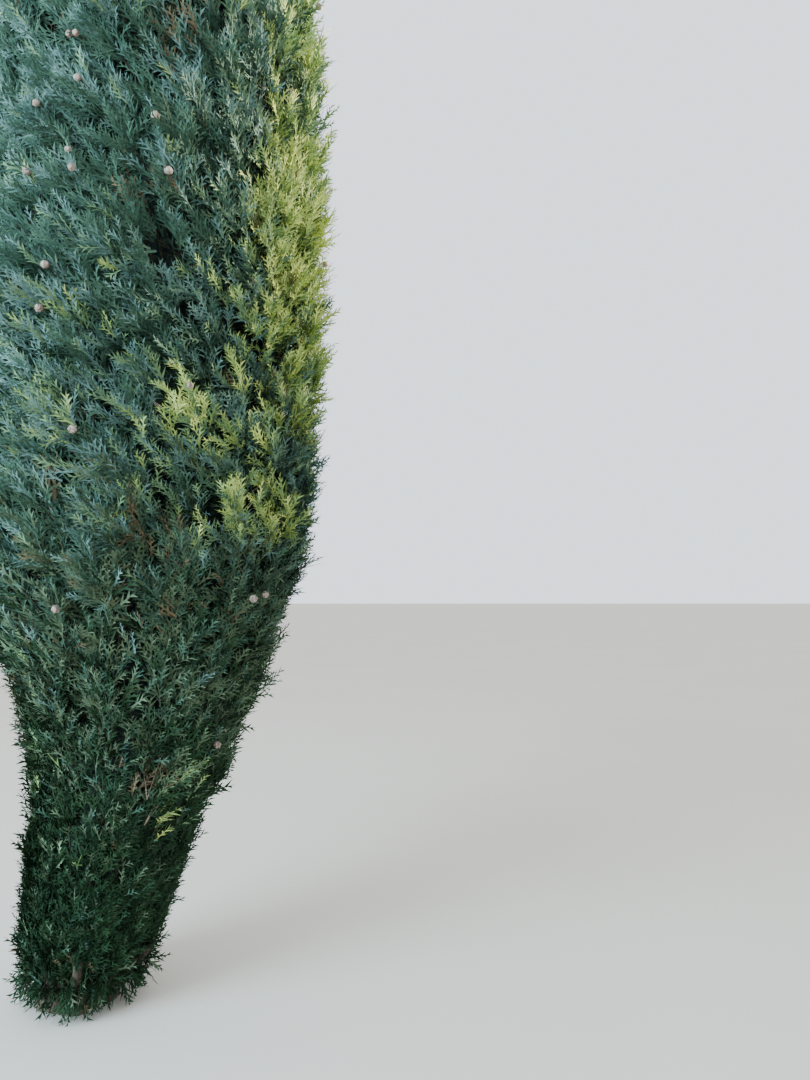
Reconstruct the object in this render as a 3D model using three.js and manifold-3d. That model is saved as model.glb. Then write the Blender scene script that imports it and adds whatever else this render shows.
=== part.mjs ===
// Pencil cypress: a tall, narrow evergreen whose boughs climb almost parallel to the trunk and
// carry dense, feathery plumes of foliage from the ground to the tip.
// Millimetres, +Z up. The origin is the middle of the flat cut under the trunk, at ground level.
// The crown is divided into spaces: tiers one above another, each split into sectors round the
// trunk. Every space holds one bough and one mass of foliage, and each keeps to its own space.
import * as THREE from "three";
import { mergeVertices } from "three/addons/utils/BufferGeometryUtils.js";
import Module from "manifold-3d";

const wasm = await Module();
wasm.setup();

// Whole tree
const HEIGHT = 12000;
const GAP = 0.3; // between pieces that meet
const SEED = 4107;

// Trunk
const TRUNK_TOP = 10600; // the leading shoot goes on from here
const TRUNK_RADIUS = 122;
const TRUNK_TIP_RADIUS = 9;
const TRUNK_TAPER = 0.92;
const TRUNK_SIDES = 10;
const TRUNK_RINGS = 14;
const TRUNK_RING_SPACING = 2.2; // over 1 sets them closer together near the ground
const FLARE = 42; // how much wider the trunk is where it meets the ground
const FLARE_HEIGHT = 170;
const BUTTRESSES = 5;
const BUTTRESS_SHARE = 0.3; // of the flare
const LEAN = 210; // the trunk bends out of the ground and then stands upright
const LEAN_HEIGHT = 750;
const BOW = 45; // sideways, over the whole height

// Outline of the crown
const CROWN_RADIUS = 850;
const WIDEST_AT = 2500;
const TAPER_POWER = 2.2;
const FOOT_SHARE = 0.3; // the crown's width at the ground against its widest
const FOOT_HEIGHT = 2100;
const LUMP = 0.035; // slow swellings of the outline, as a share
const LUMP_PITCH = 2600;

// Tiers from the ground up: name, height of the lower edge, number of boughs, twigs on each stem
const TIERS = [
  ["foot", 70, 5, 7],
  ["skirt", 2000, 5, 5],
  ["lower", 3850, 5, 4],
  ["middle", 5700, 5, 4],
  ["upper", 7500, 5, 4],
  ["shoulder", 9250, 3, 4],
];
const EDGE_DEPTH = 0.7; // depth in the crown at which those heights hold
const EDGE_RISE = 2.1; // how far an edge climbs from trunk to outside, against the radius
const ZIGZAG = 300; // the flames of one tier reach up between those of the next
const WANDER = 110; // slow rise and fall of an edge round the trunk
const WANDER_TURN = 1.7; // radians from one edge to the next
const FIRST_SECTOR = 0.1 - Math.PI / 2; // radians
const SECTOR_JITTER = 0.12; // radians
const TRUNK_CLEARANCE = 22;
const SPACE_MARGIN = 9;

// Boughs
const BOUGH_RADIUS = 0.24; // of the trunk's radius there
const BOUGH_LEAST = 11;
const BOUGH_TAPER = 0.62;
const BOUGH_COLLAR = 1.1; // thicker inside the trunk's bark
const BOUGH_SIDES = 5;
const BOUGH_RISE = 0.05; // height in its space, as a share
const BOUGH_SLOPE = 0.9; // of its start inside the trunk
const BOUGH_DEPTH = 0.34; // where it enters the foliage, 0 at the trunk and 1 outside

// Masses of foliage
const CORE_FROM = 0.08;
const CORE_TO = 0.97;
const CORE_RINGS = 7;
const CORE_SIDES = 8; // crests and hollows by turns
const CORE_SPREAD = 0.8; // of the sector
const CREST = 1.15;
const HOLLOW = 0.8;
const FLAME_BELLY = 0.72; // under 1 puts the widest part below the middle
const CREST_RISE = 0.55; // of the step between rings
const CORE_DEPTH = [0.46, 0.56]; // its middle at the bottom and at the top
const CORE_THICK = 0.22;
const CORE_BLUNT = 0.4; // 1 tapers evenly to both ends, 0 keeps its width
const CORE_ENDS = [0.055, 0.985];
const STEM_SIDES = 4;
const STEM_TIP = 6;
const STEM_START = 70; // straight on from the bough for this far
const STEM_HEIGHTS = [0.12, 0.4, 0.7, 0.9]; // then up the middle of the core
const TWIG_SIDES = 3;
const TWIG_RADIUS = 8;
const TWIG_FOOT = 12; // its radius at the stem
const TWIG_CLIMB = 0.12; // of the core's height, from the stem to where it comes out
const TWIG_OUT = 30;
const TWIG_ARC = 1.65; // radians to each side of straight out
const TWIG_STEP = 0.7549; // of that arc, from one twig to the next
const TWIG_HEIGHTS = [0.04, 0.9]; // lowest and highest on the core
const SPRAY_LENGTH = 560;
const SPRAY_WIDTH = 0.38; // of the length
const SPRAY_THICK = 0.04; // of the length
const SPRAY_SINK = 45;
const SPRAY_SIZES = [1, 0.78, 0.6, 0.45]; // tried in turn until one stays in its space
const SPRAY_TILT = 0.34; // radians away from the mass
// The two sprays of a twig: radians to the side, and size
const PAIR = [
  [-0.2, 1],
  [0.5, 0.8],
];
const TIP_SPRAY_AT = 0.93; // height on the core
// Half of a spray's outline: share of the length, share of the half width
const TOOTH = [0.54, 1];
const NOTCH = [0.6, 0.42];
const OTHER_SIDE = 0.06; // the other tooth stands this much further along
const THICKEST = 0.45;
const ROOT_WIDTH = 0.22;

// The leading shoot above the trunk
const LEADER_EDGE = 330; // the shoots below reach this far above the trunk's tip
const LEADER_SPRAYS = 12;
const LEADER_CORE = 0.5; // of the crown's radius
const LEADER_SPRAY = 430;
const LEADER_TILT = 0.2;
const LEADER_HEIGHTS = [0.04, 0.14, 0.34, 0.56, 0.74];
const LEADER_SWELL = [0.16, 0.7, 1, 1, 1];
const LEADER_SIDES = 6;
const LEADER_STEM = 0.8; // of the way to the top
const LEADER_SPRAY_HEIGHTS = [0.06, 0.61];
const TOP_SPRAY = 0.7;
const LEADER_DWINDLE = 0.45;

// Colours
const BARK = { color: 0x6b5a4c, roughness: 0.9 };
const BOUGH_BARK = { color: 0x75604e, roughness: 0.9 };
const FOLIAGE = [0x2c4a30, 0x33553a, 0x2b4c38, 0x3a5d36].map((color) => ({ color, roughness: 0.8 }));

const UP = new THREE.Vector3(0, 0, 1);
const GOLDEN = Math.PI * (3 - Math.sqrt(5));

const smooth = (t) => {
  const u = Math.min(Math.max(t, 0), 1);
  return u * u * (3 - 2 * u);
};

// The same numbers on every run
function seeded(seed) {
  let state = seed >>> 0;
  return () => {
    state = (state + 0x6d2b79f5) >>> 0;
    let t = Math.imul(state ^ (state >>> 15), 1 | state);
    t = (t + Math.imul(t ^ (t >>> 7), 61 | t)) ^ t;
    return ((t ^ (t >>> 14)) >>> 0) / 4294967296;
  };
}

// Middle line of trunk and crown
function middle(z) {
  const lean = LEAN * (1 - Math.exp(-z / LEAN_HEIGHT));
  return new THREE.Vector3(lean, BOW * Math.sin((Math.PI * z) / HEIGHT), z);
}

function trunkRadius(z) {
  const left = Math.max(0, 1 - z / TRUNK_TOP);
  const stem = TRUNK_TIP_RADIUS + (TRUNK_RADIUS - TRUNK_TIP_RADIUS) * left ** TRUNK_TAPER;
  return stem + FLARE * Math.exp(-z / FLARE_HEIGHT);
}

function crownRadius(z, phi) {
  const rise = Math.max(0, (z - WIDEST_AT) / (HEIGHT - WIDEST_AT));
  const taper = Math.max(0, 1 - rise ** TAPER_POWER);
  const foot = FOOT_SHARE + (1 - FOOT_SHARE) * smooth(z / FOOT_HEIGHT);
  const turn = (2 * Math.PI * z) / LUMP_PITCH;
  const lumps = 1 + (LUMP / 2) * (Math.sin(2 * phi + turn) + Math.sin(3 * phi - turn));
  return CROWN_RADIUS * taper * foot * lumps;
}

// Depth in the crown: 0 at the trunk's bark and 1 at the outside
const barkAt = (z) => trunkRadius(z) + TRUNK_CLEARANCE;
const radiusAt = (phi, depth, z) => barkAt(z) + depth * (crownRadius(z, phi) - barkAt(z));
const depthAt = (phi, radius, z) =>
  (radius - barkAt(z)) / Math.max(1, crownRadius(z, phi) - barkAt(z));

function place(phi, depth, z) {
  const r = radiusAt(phi, depth, z);
  return middle(z).add(new THREE.Vector3(r * Math.cos(phi), r * Math.sin(phi), 0));
}

// Height of the edge under a tier, which climbs outwards and zigzags round the trunk
function edgeHeight(tier, phi, depth) {
  if (tier === 0) return TIERS[0][1];
  const top = tier === TIERS.length;
  const base = top ? TRUNK_TOP + LEADER_EDGE : TIERS[tier][1];
  const sectors = top ? 1 : TIERS[tier][2];
  const sameBelow = !top && TIERS[tier - 1][2] === sectors;
  const zigzag = sameBelow ? -ZIGZAG * Math.cos(sectors * (phi - firstAngle(tier))) : 0;
  const wander = top ? 0 : WANDER * Math.sin(2 * phi + tier * WANDER_TURN);
  const rise = EDGE_RISE * crownRadius(base, phi) * (depth - EDGE_DEPTH);
  return base + zigzag + wander + rise;
}

// Each tier is turned by half a sector against the one below
function firstAngle(tier) {
  const sectors = TIERS[tier][2];
  return FIRST_SECTOR + (tier % 2) * (Math.PI / sectors);
}

// The spaces of one tier: middle direction and the two sides of each sector
function sectorsOf(tier) {
  const count = TIERS[tier][2];
  const draw = seeded(SEED + tier * 101);
  const angles = Array.from({ length: count }, (_, k) => {
    return firstAngle(tier) + (2 * Math.PI * k) / count + (draw() - 0.5) * 2 * SECTOR_JITTER;
  });
  return angles.map((phi, k) => {
    const before = angles[(k + count - 1) % count] - (k === 0 ? 2 * Math.PI : 0);
    const after = angles[(k + 1) % count] + (k === count - 1 ? 2 * Math.PI : 0);
    return { tier, phi, from: (before + phi) / 2, to: (phi + after) / 2 };
  });
}

// A place in a space: turn and depth as above, and height from 0 at its floor to 1 at its top
function inSpace(space, phi, depth, height) {
  const low = edgeHeight(space.tier, phi, depth);
  const high = edgeHeight(space.tier + 1, phi, depth);
  return place(phi, depth, low + height * (high - low));
}

// Whether points lie in a space, clear of its sides
function keepsTo(space, points) {
  return points.every((p) => {
    const axis = middle(p.z);
    const dx = p.x - axis.x;
    const dy = p.y - axis.y;
    const radius = Math.hypot(dx, dy);
    const turn = THREE.MathUtils.euclideanModulo(Math.atan2(dy, dx) - space.from, 2 * Math.PI);
    const phi = space.from + turn;
    const depth = depthAt(phi, radius, p.z);
    const side = SPACE_MARGIN / radius;
    return (
      depth < 1 &&
      radius > barkAt(p.z) &&
      turn > side &&
      phi < space.to - side &&
      p.z > edgeHeight(space.tier, phi, depth) + SPACE_MARGIN &&
      p.z < edgeHeight(space.tier + 1, phi, depth) - SPACE_MARGIN
    );
  });
}

// Bodies
function geometryOf(points, faces) {
  const geometry = new THREE.BufferGeometry().setFromPoints(points);
  geometry.setIndex(faces);
  return geometry;
}

// A closed body through rings of equally many points, each end closed by a fan about its middle
function loft(rings) {
  const sides = rings[0].length;
  const points = rings.flat();
  const faces = [];
  for (let j = 0; j + 1 < rings.length; j++)
    for (let i = 0; i < sides; i++) {
      const a = j * sides + i;
      const b = j * sides + ((i + 1) % sides);
      faces.push(a, b, b + sides, a, b + sides, a + sides);
    }
  const cap = (ring, offset, turned) => {
    const centre = points.length;
    points.push(ring.reduce((sum, p) => sum.add(p), new THREE.Vector3()).divideScalar(sides));
    for (let i = 0; i < sides; i++) {
      const a = offset + i;
      const b = offset + ((i + 1) % sides);
      faces.push(centre, turned ? b : a, turned ? a : b);
    }
  };
  cap(rings[0], 0, true);
  cap(rings[rings.length - 1], (rings.length - 1) * sides, false);
  return geometryOf(points, faces);
}

// A tapering limb along a line of points, its ends square to its first and last stretch
function limb(points, radii, sides) {
  const rings = points.map((p, j) => {
    const before = points[Math.max(0, j - 1)];
    const after = points[Math.min(points.length - 1, j + 1)];
    const along = after.clone().sub(before).normalize();
    const across = new THREE.Vector3().crossVectors(along, new THREE.Vector3(0.31, 0.95, 0.05));
    across.normalize();
    const other = new THREE.Vector3().crossVectors(along, across);
    return Array.from({ length: sides }, (_, i) => {
      const a = (2 * Math.PI * i) / sides;
      const spoke = across.clone().multiplyScalar(Math.cos(a));
      return spoke.addScaledVector(other, Math.sin(a)).multiplyScalar(radii[j]).add(p);
    });
  });
  return loft(rings);
}

function solidOf(geometry) {
  const bare = mergeVertices(geometry, 1e-4);
  return new wasm.Manifold(
    new wasm.Mesh({
      numProp: 3,
      vertProperties: bare.getAttribute("position").array,
      triVerts: new Uint32Array(bare.index.array),
    }),
  );
}

// The one body that is left when scraps and sealed hollows are dropped
function soundBody(solid) {
  const bodies = solid.decompose();
  return bodies.reduce((a, b) => (b.volume() > a.volume() ? b : a));
}

function meshOf(name, solid, look) {
  const body = solid.getMesh();
  const geometry = new THREE.BufferGeometry();
  geometry.setAttribute("position", new THREE.BufferAttribute(body.vertProperties, 3));
  geometry.setIndex(new THREE.BufferAttribute(body.triVerts, 1));
  const material = new THREE.MeshStandardMaterial({ ...look, metalness: 0 });
  const mesh = new THREE.Mesh(geometry, material);
  mesh.name = name;
  return mesh;
}

function boxesNear(a, b, reach) {
  const p = a.boundingBox();
  const q = b.boundingBox();
  return [0, 1, 2].every((k) => p.min[k] - reach < q.max[k] && q.min[k] - reach < p.max[k]);
}

const clearOf = (piece, others, clearance) =>
  others.every((o) => !boxesNear(piece, o, clearance) || piece.minGap(o, clearance) >= clearance);

// Trunk, from the flat cut to the foot of the leading shoot
function trunkSolid(grown) {
  const rings = Array.from({ length: TRUNK_RINGS + 1 }, (_, j) => {
    const z = TRUNK_TOP * (j / TRUNK_RINGS) ** TRUNK_RING_SPACING;
    return Array.from({ length: TRUNK_SIDES }, (_, i) => {
      const a = (2 * Math.PI * i) / TRUNK_SIDES;
      const buttress = FLARE * BUTTRESS_SHARE * Math.exp(-z / FLARE_HEIGHT);
      const r = trunkRadius(z) + buttress * (Math.cos(BUTTRESSES * a) - 1) + grown;
      return middle(z).add(new THREE.Vector3(r * Math.cos(a), r * Math.sin(a), 0));
    });
  });
  return solidOf(loft(rings));
}

// The bough of a space: where it leaves the trunk's middle, where it ends, and how thick it is
function boughLine(space) {
  const at = (depth) => inSpace(space, space.phi, depth, BOUGH_RISE);
  const tip = at(BOUGH_DEPTH);
  const bark = at(0);
  const start = middle(bark.z - BOUGH_SLOPE * barkAt(bark.z));
  const base = Math.max(BOUGH_LEAST, BOUGH_RADIUS * trunkRadius(bark.z));
  const last = tip.clone().sub(bark).normalize();
  return { points: [start, bark, tip], base, end: base * BOUGH_TAPER, last };
}

function boughSolid(line, grownTrunk) {
  const radii = [line.base * BOUGH_COLLAR, line.base, line.end];
  return soundBody(solidOf(limb(line.points, radii, BOUGH_SIDES)).subtract(grownTrunk));
}

// The core of a mass is shaped like a flame: turn 0 faces outwards, height runs from 0 to 1
function flame(space, turn, height, swell = 1) {
  const along = THREE.MathUtils.clamp(height, 0, 1);
  const share = THREE.MathUtils.lerp(CORE_ENDS[0], CORE_ENDS[1], along) ** FLAME_BELLY;
  const wide = swell * Math.sin(Math.PI * share) ** CORE_BLUNT;
  const half = Math.sin(turn) > 0 ? space.to - space.phi : space.phi - space.from;
  const phi = space.phi + half * CORE_SPREAD * wide * Math.sin(turn);
  const mid = THREE.MathUtils.lerp(CORE_DEPTH[0], CORE_DEPTH[1], height);
  const depth = mid + CORE_THICK * wide * Math.cos(turn);
  return inSpace(space, phi, depth, THREE.MathUtils.lerp(CORE_FROM, CORE_TO, height));
}

// The core's surface is broken into upward points, as tufts stand over the dark between them
function coreSolid(space) {
  const step = 1 / (CORE_RINGS - 1);
  const rings = Array.from({ length: CORE_RINGS }, (_, j) => {
    const atEnd = j === 0 || j === CORE_RINGS - 1;
    return Array.from({ length: CORE_SIDES }, (_, i) => {
      const crest = (i + j) % 2 === 0;
      const swell = atEnd ? 1 : crest ? CREST : HOLLOW;
      const height = j * step + (crest && !atEnd ? CREST_RISE * step : 0);
      return flame(space, (2 * Math.PI * i) / CORE_SIDES, height, swell);
    });
  });
  return solidOf(loft(rings));
}

// Middle of the core at a height, which the stem follows
function coreMiddle(space, height) {
  return flame(space, Math.PI / 2, height).add(flame(space, -Math.PI / 2, height)).multiplyScalar(0.5);
}

function stemSolid(space, line) {
  const tip = line.points[2];
  const points = [GAP, STEM_START].map((d) => tip.clone().addScaledVector(line.last, d));
  STEM_HEIGHTS.forEach((height) => points.push(coreMiddle(space, height)));
  const radii = points.map((_, j) => {
    return THREE.MathUtils.lerp(line.end, STEM_TIP, Math.max(0, j - 1) / (points.length - 2));
  });
  return solidOf(limb(points, radii, STEM_SIDES));
}

// The outline of a spray: a blade with a tooth on each side, thickest along its middle
function sprayPoints(root, along, across, length) {
  const half = (SPRAY_WIDTH * length) / 2;
  const face = new THREE.Vector3().crossVectors(along, across);
  const at = (x, y, n) =>
    root
      .clone()
      .addScaledVector(along, x * length)
      .addScaledVector(across, y * half)
      .addScaledVector(face, n * length);
  const outline = [
    at(0, -ROOT_WIDTH, 0),
    at(TOOTH[0] + OTHER_SIDE, -TOOTH[1], 0),
    at(NOTCH[0] + OTHER_SIDE, -NOTCH[1], 0),
    at(1, 0, 0),
    at(NOTCH[0], NOTCH[1], 0),
    at(TOOTH[0], TOOTH[1], 0),
    at(0, ROOT_WIDTH, 0),
  ];
  const middles = [1, -1].map((side) => at(THICKEST, 0, (side * SPRAY_THICK) / 2));
  return { outline, middles };
}

function spraySolid({ outline, middles }) {
  const count = outline.length;
  const faces = [];
  for (let i = 0; i < count; i++) {
    const next = (i + 1) % count;
    faces.push(count, i, next, count + 1, next, i);
  }
  return solidOf(geometryOf([...outline, ...middles], faces));
}

// The largest spray of the sizes that stays in its space and clear of its neighbours
function fittedSpray(root, along, across, length, fits, others) {
  for (const size of SPRAY_SIZES) {
    const points = sprayPoints(root, along, across, length * size);
    if (!fits(points.outline)) continue;
    const solid = spraySolid(points);
    if (clearOf(solid, others, SPACE_MARGIN)) return solid;
  }
  return null;
}

// The core's surface at a place, with the directions up it and out of it
function surfaceAt(space, turn, height) {
  const step = 0.02; // small against the core
  const at = flame(space, turn, height);
  const up = flame(space, turn, height + step).sub(flame(space, turn, height - step)).normalize();
  const round = flame(space, turn + step, height).sub(flame(space, turn - step, height));
  const out = round.cross(up).normalize();
  return { at, up, out, side: new THREE.Vector3().crossVectors(up, out) };
}

// Twigs branch from the stem, come out through the core and end in two sprays each
function twigsAndSprays(space, draw, others) {
  const pieces = [];
  const fits = (points) => keepsTo(space, points);
  const first = draw();
  const twigs = TIERS[space.tier][3];
  for (let i = 0; i < twigs; i++) {
    const round = (first + (i + 1) * TWIG_STEP) % 1;
    const turn = (round * 2 - 1) * TWIG_ARC;
    const height = THREE.MathUtils.lerp(TWIG_HEIGHTS[0], TWIG_HEIGHTS[1], (i + draw()) / twigs);
    const { at, up, out, side } = surfaceAt(space, turn, height);
    const end = at.clone().addScaledVector(out, TWIG_OUT);
    const start = coreMiddle(space, Math.max(CORE_ENDS[0], height - TWIG_CLIMB));
    const twig = solidOf(limb([start, end], [TWIG_FOOT, TWIG_RADIUS], TWIG_SIDES));
    if (!fits([end]) || !clearOf(twig, others, SPACE_MARGIN)) continue;
    pieces.push(twig);
    const tilt = SPRAY_TILT * (0.6 + 0.8 * draw());
    const hand = i % 2 ? 1 : -1;
    for (const [turned, size] of PAIR) {
      const swing = turned * hand;
      const along = up.clone().multiplyScalar(Math.cos(tilt) * Math.cos(swing));
      along.addScaledVector(out, Math.sin(tilt)).addScaledVector(side, Math.sin(swing)).normalize();
      const across = side.clone().addScaledVector(along, -side.dot(along)).normalize();
      const root = end.clone().addScaledVector(out, -TWIG_OUT / 2).addScaledVector(along, -SPRAY_SINK);
      const length = SPRAY_LENGTH * size * (0.85 + 0.3 * draw());
      const spray = fittedSpray(root, along, across, length, fits, others);
      if (spray) pieces.push(spray);
    }
  }
  return pieces;
}

// The tip of the flame: two sprays crossed over the end of the stem
function tipSprays(space, others) {
  const { up, side, out } = surfaceAt(space, 0, TIP_SPRAY_AT);
  const root = coreMiddle(space, TIP_SPRAY_AT);
  const fits = (points) => keepsTo(space, points.slice(1));
  return [side, out]
    .map((across) => fittedSpray(root, up, across, SPRAY_LENGTH, fits, others))
    .filter(Boolean);
}

function massSolid(space, line, draw, others) {
  const core = coreSolid(space);
  const pieces = [stemSolid(space, line), ...twigsAndSprays(space, draw, others)];
  pieces.push(...tipSprays(space, others));
  return soundBody(pieces.reduce((sum, piece) => sum.add(piece), core));
}

// The leading shoot stands on the trunk's tip and makes the point of the crown
function leaderSolid(draw, others) {
  const span = HEIGHT - TRUNK_TOP;
  const at = (share) => middle(TRUNK_TOP + share * span);
  const stemRadii = [TRUNK_TIP_RADIUS, STEM_TIP];
  const stem = solidOf(limb([middle(TRUNK_TOP + GAP), at(LEADER_STEM)], stemRadii, STEM_SIDES));
  const rings = LEADER_HEIGHTS.map((share, j) => {
    const r = LEADER_CORE * LEADER_SWELL[j] * crownRadius(at(share).z, 0);
    return Array.from({ length: LEADER_SIDES }, (_, i) => {
      const a = (2 * Math.PI * i) / LEADER_SIDES;
      return at(share).add(new THREE.Vector3(r * Math.cos(a), r * Math.sin(a), 0));
    });
  });
  let whole = solidOf(loft(rings)).add(stem);
  for (let i = 0; i < LEADER_SPRAYS; i++) {
    const top = i === LEADER_SPRAYS - 1;
    const climb = i / (LEADER_SPRAYS - 2);
    const share = top ? TOP_SPRAY : THREE.MathUtils.lerp(...LEADER_SPRAY_HEIGHTS, climb);
    const a = GOLDEN * i + draw() * SECTOR_JITTER;
    const out = new THREE.Vector3(Math.cos(a), Math.sin(a), 0);
    const side = new THREE.Vector3().crossVectors(UP, out);
    const tilt = top ? 0 : LEADER_TILT;
    const along = UP.clone().multiplyScalar(Math.cos(tilt)).addScaledVector(out, Math.sin(tilt));
    const reach = top ? 0 : (LEADER_CORE / 2) * crownRadius(at(share).z, a);
    const length = top ? HEIGHT - at(share).z : LEADER_SPRAY * (1 - LEADER_DWINDLE * share);
    const root = at(share).addScaledVector(out, reach);
    const fits = (points) => points.every((p) => p.z <= HEIGHT);
    const spray = fittedSpray(root, along, side, length, fits, others);
    if (spray) whole = whole.add(spray);
  }
  return soundBody(whole);
}

// Assembly
const tree = new THREE.Group();
const grownTrunk = trunkSolid(GAP);
tree.add(meshOf("trunk", trunkSolid(0), BARK));

const spaces = TIERS.flatMap((_, tier) => sectorsOf(tier).map((space, k) => ({ ...space, k })));
const boughs = spaces.map((space) => {
  const line = boughLine(space);
  return { line, solid: boughSolid(line, grownTrunk) };
});
const boughSolids = boughs.map((bough) => bough.solid);
const masses = [];
spaces.forEach((space, i) => {
  const name = TIERS[space.tier][0] + "_" + (space.k + 1);
  const draw = seeded(SEED * 3 + i * 977);
  const others = [...boughSolids, ...masses];
  const mass = massSolid(space, boughs[i].line, draw, others);
  masses.push(mass);
  tree.add(meshOf("bough_" + name, boughs[i].solid, BOUGH_BARK));
  tree.add(meshOf("foliage_" + name, mass, FOLIAGE[(space.tier + space.k) % FOLIAGE.length]));
});
const leader = leaderSolid(seeded(SEED - 1), [...boughSolids, ...masses]);
tree.add(meshOf("foliage_leader", leader, FOLIAGE[3]));

export default tree;
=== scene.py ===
# %% [markdown]
# # A pencil cypress, grown limb by limb
#
# The real tree is a narrow evergreen, twelve metres high. Its boughs climb almost parallel to the
# trunk and carry feathery plumes of tiny scale leaves from the ground to the tip. This lesson
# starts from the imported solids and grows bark, twigs, sprays and cones over their skeleton.

# %% Load the frame
import math
import time

import bmesh
import bpy
import numpy as np
from mathutils import Euler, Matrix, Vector, noise
from mathutils.kdtree import KDTree


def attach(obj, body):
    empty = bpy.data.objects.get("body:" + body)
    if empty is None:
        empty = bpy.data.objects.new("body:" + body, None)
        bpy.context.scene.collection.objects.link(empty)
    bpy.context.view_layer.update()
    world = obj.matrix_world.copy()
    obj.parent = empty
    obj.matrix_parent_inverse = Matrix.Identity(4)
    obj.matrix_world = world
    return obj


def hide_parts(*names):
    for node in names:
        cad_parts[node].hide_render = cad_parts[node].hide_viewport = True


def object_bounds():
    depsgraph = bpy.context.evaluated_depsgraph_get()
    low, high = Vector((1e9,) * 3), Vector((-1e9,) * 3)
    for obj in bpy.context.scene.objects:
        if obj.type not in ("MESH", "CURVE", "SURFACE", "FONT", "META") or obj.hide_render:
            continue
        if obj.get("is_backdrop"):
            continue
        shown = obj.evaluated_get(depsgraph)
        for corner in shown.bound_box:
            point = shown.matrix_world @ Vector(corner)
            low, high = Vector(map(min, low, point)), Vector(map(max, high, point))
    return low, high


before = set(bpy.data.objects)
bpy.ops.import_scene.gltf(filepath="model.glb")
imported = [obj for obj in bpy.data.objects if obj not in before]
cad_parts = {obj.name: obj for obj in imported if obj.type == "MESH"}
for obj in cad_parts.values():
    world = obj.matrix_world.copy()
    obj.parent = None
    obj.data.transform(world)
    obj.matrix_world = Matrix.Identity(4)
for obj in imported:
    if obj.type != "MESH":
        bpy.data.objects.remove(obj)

STARTED = time.time()
CAD_BOX = [list(corner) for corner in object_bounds()]
print("nodes:", len(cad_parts))
print("solids reach from", [round(x, 3) for x in CAD_BOX[0]], "to", [round(x, 3) for x in CAD_BOX[1]])

# %% [markdown]
# ## Numbers that come out the same each time
#
# A real tree is irregular, so the model needs chance, but the same chance on every run. The small
# seeded generator is the one that placed the solids, so that both give the same skeleton. NumPy's
# is faster for many thousands of leaves, with one seed for each kind of growth.

# %% Seeded chance
SEED = 4107
WORD, STRIDE = 0xFFFFFFFF, 0x6D2B79F5
GROWTHS = (None, "branches", "sprays", "greens", "barbs", "cones", "bare twigs")


def seeded(seed):
    state = seed & WORD

    def draw():
        nonlocal state
        state = (state + STRIDE) & WORD
        t = (state ^ (state >> 15)) * (1 | state) & WORD
        t = ((t + (t ^ (t >> 7)) * (61 | t)) & WORD) ^ t
        return (t ^ (t >> 14)) / (WORD + 1)

    return draw


def chance(growth):
    return np.random.default_rng([SEED, GROWTHS.index(growth)])


print("first seeded number:", round(seeded(SEED)(), 4))

# %% [markdown]
# ## The tree's own measures
#
# Trunk and crown follow one middle line that leans out of the ground and then stands upright. The
# trunk tapers and flares at its foot, and the crown is widest at two and a half metres. These are
# the solids' formulas, written for whole arrays of heights. Only the waist is finer here: low on
# its left the real crown draws in towards the trunk.

# %% Middle line, trunk and crown
TAU = 2 * np.pi
HEIGHT = 12.0
TRUNK_TOP = 10.6
TRUNK_RADIUS, TRUNK_TIP_RADIUS, TRUNK_TAPER = 0.122, 0.009, 0.92
FLARE, FLARE_HEIGHT = 0.042, 0.17
LEAN, LEAN_HEIGHT, BOW = 0.21, 0.75, 0.045
CROWN_RADIUS, WIDEST_AT, TAPER_POWER = 0.85, 2.5, 2.2
FOOT_SHARE, FOOT_HEIGHT = 0.3, 2.1
LUMP, LUMP_PITCH = 0.035, 2.6
WAIST, WAIST_HEIGHT, WAIST_BELOW, WAIST_ABOVE = 0.32, 0.97, 0.42, 0.55
WAIST_AZIMUTH, WAIST_TURN = -2.58, 0.9
TRUNK_CLEARANCE = 0.022


def smooth(t):
    u = np.clip(t, 0, 1)
    return u * u * (3 - 2 * u)


def rising(x, start, over):
    """0 up to the start, and from there a smooth rise to 1."""
    return smooth((x - start) / over)


def lerp(a, b, t):
    return a + (b - a) * t


def wrapped(angle):
    return (angle + np.pi) % TAU - np.pi


def points_of(x, y, z):
    return np.stack(np.broadcast_arrays(x, y, z), axis=-1)


def towards(phi, r=1.0):
    return points_of(r * np.cos(phi), r * np.sin(phi), 0)


def middle(z):
    return points_of(LEAN * (1 - np.exp(-z / LEAN_HEIGHT)), BOW * np.sin(np.pi * z / HEIGHT), z)


def trunk_radius(z):
    left = np.maximum(0, 1 - z / TRUNK_TOP)
    stem = TRUNK_TIP_RADIUS + (TRUNK_RADIUS - TRUNK_TIP_RADIUS) * left**TRUNK_TAPER
    return stem + FLARE * np.exp(-z / FLARE_HEIGHT)


def waist(z, phi):
    """Share of the crown's radius that is missing low on its left."""
    upward = (z - WAIST_HEIGHT) / np.where(z < WAIST_HEIGHT, WAIST_BELOW, WAIST_ABOVE)
    around = wrapped(phi - WAIST_AZIMUTH) / WAIST_TURN
    return WAIST * np.exp(-(upward**2) - around**2)


def crown_radius(z, phi):
    rise = np.clip((z - WIDEST_AT) / (HEIGHT - WIDEST_AT), 0, 1)
    foot = FOOT_SHARE + (1 - FOOT_SHARE) * smooth(z / FOOT_HEIGHT)
    turn = TAU * z / LUMP_PITCH
    lumps = 1 + LUMP / 2 * (np.sin(2 * phi + turn) + np.sin(3 * phi - turn))
    return CROWN_RADIUS * (1 - rise**TAPER_POWER) * foot * lumps * (1 - waist(z, phi))


def bark_at(z):
    return trunk_radius(z) + TRUNK_CLEARANCE


def place(phi, depth, z):
    return middle(z) + towards(phi, lerp(bark_at(z), crown_radius(z, phi), depth))


for z in (0.5, 2.5, 6.0, 10.0):
    print(f"at {z:4.1f} m: trunk {2 * trunk_radius(z):.2f} m, crown {2 * crown_radius(z, 0):.2f} m across")

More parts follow.
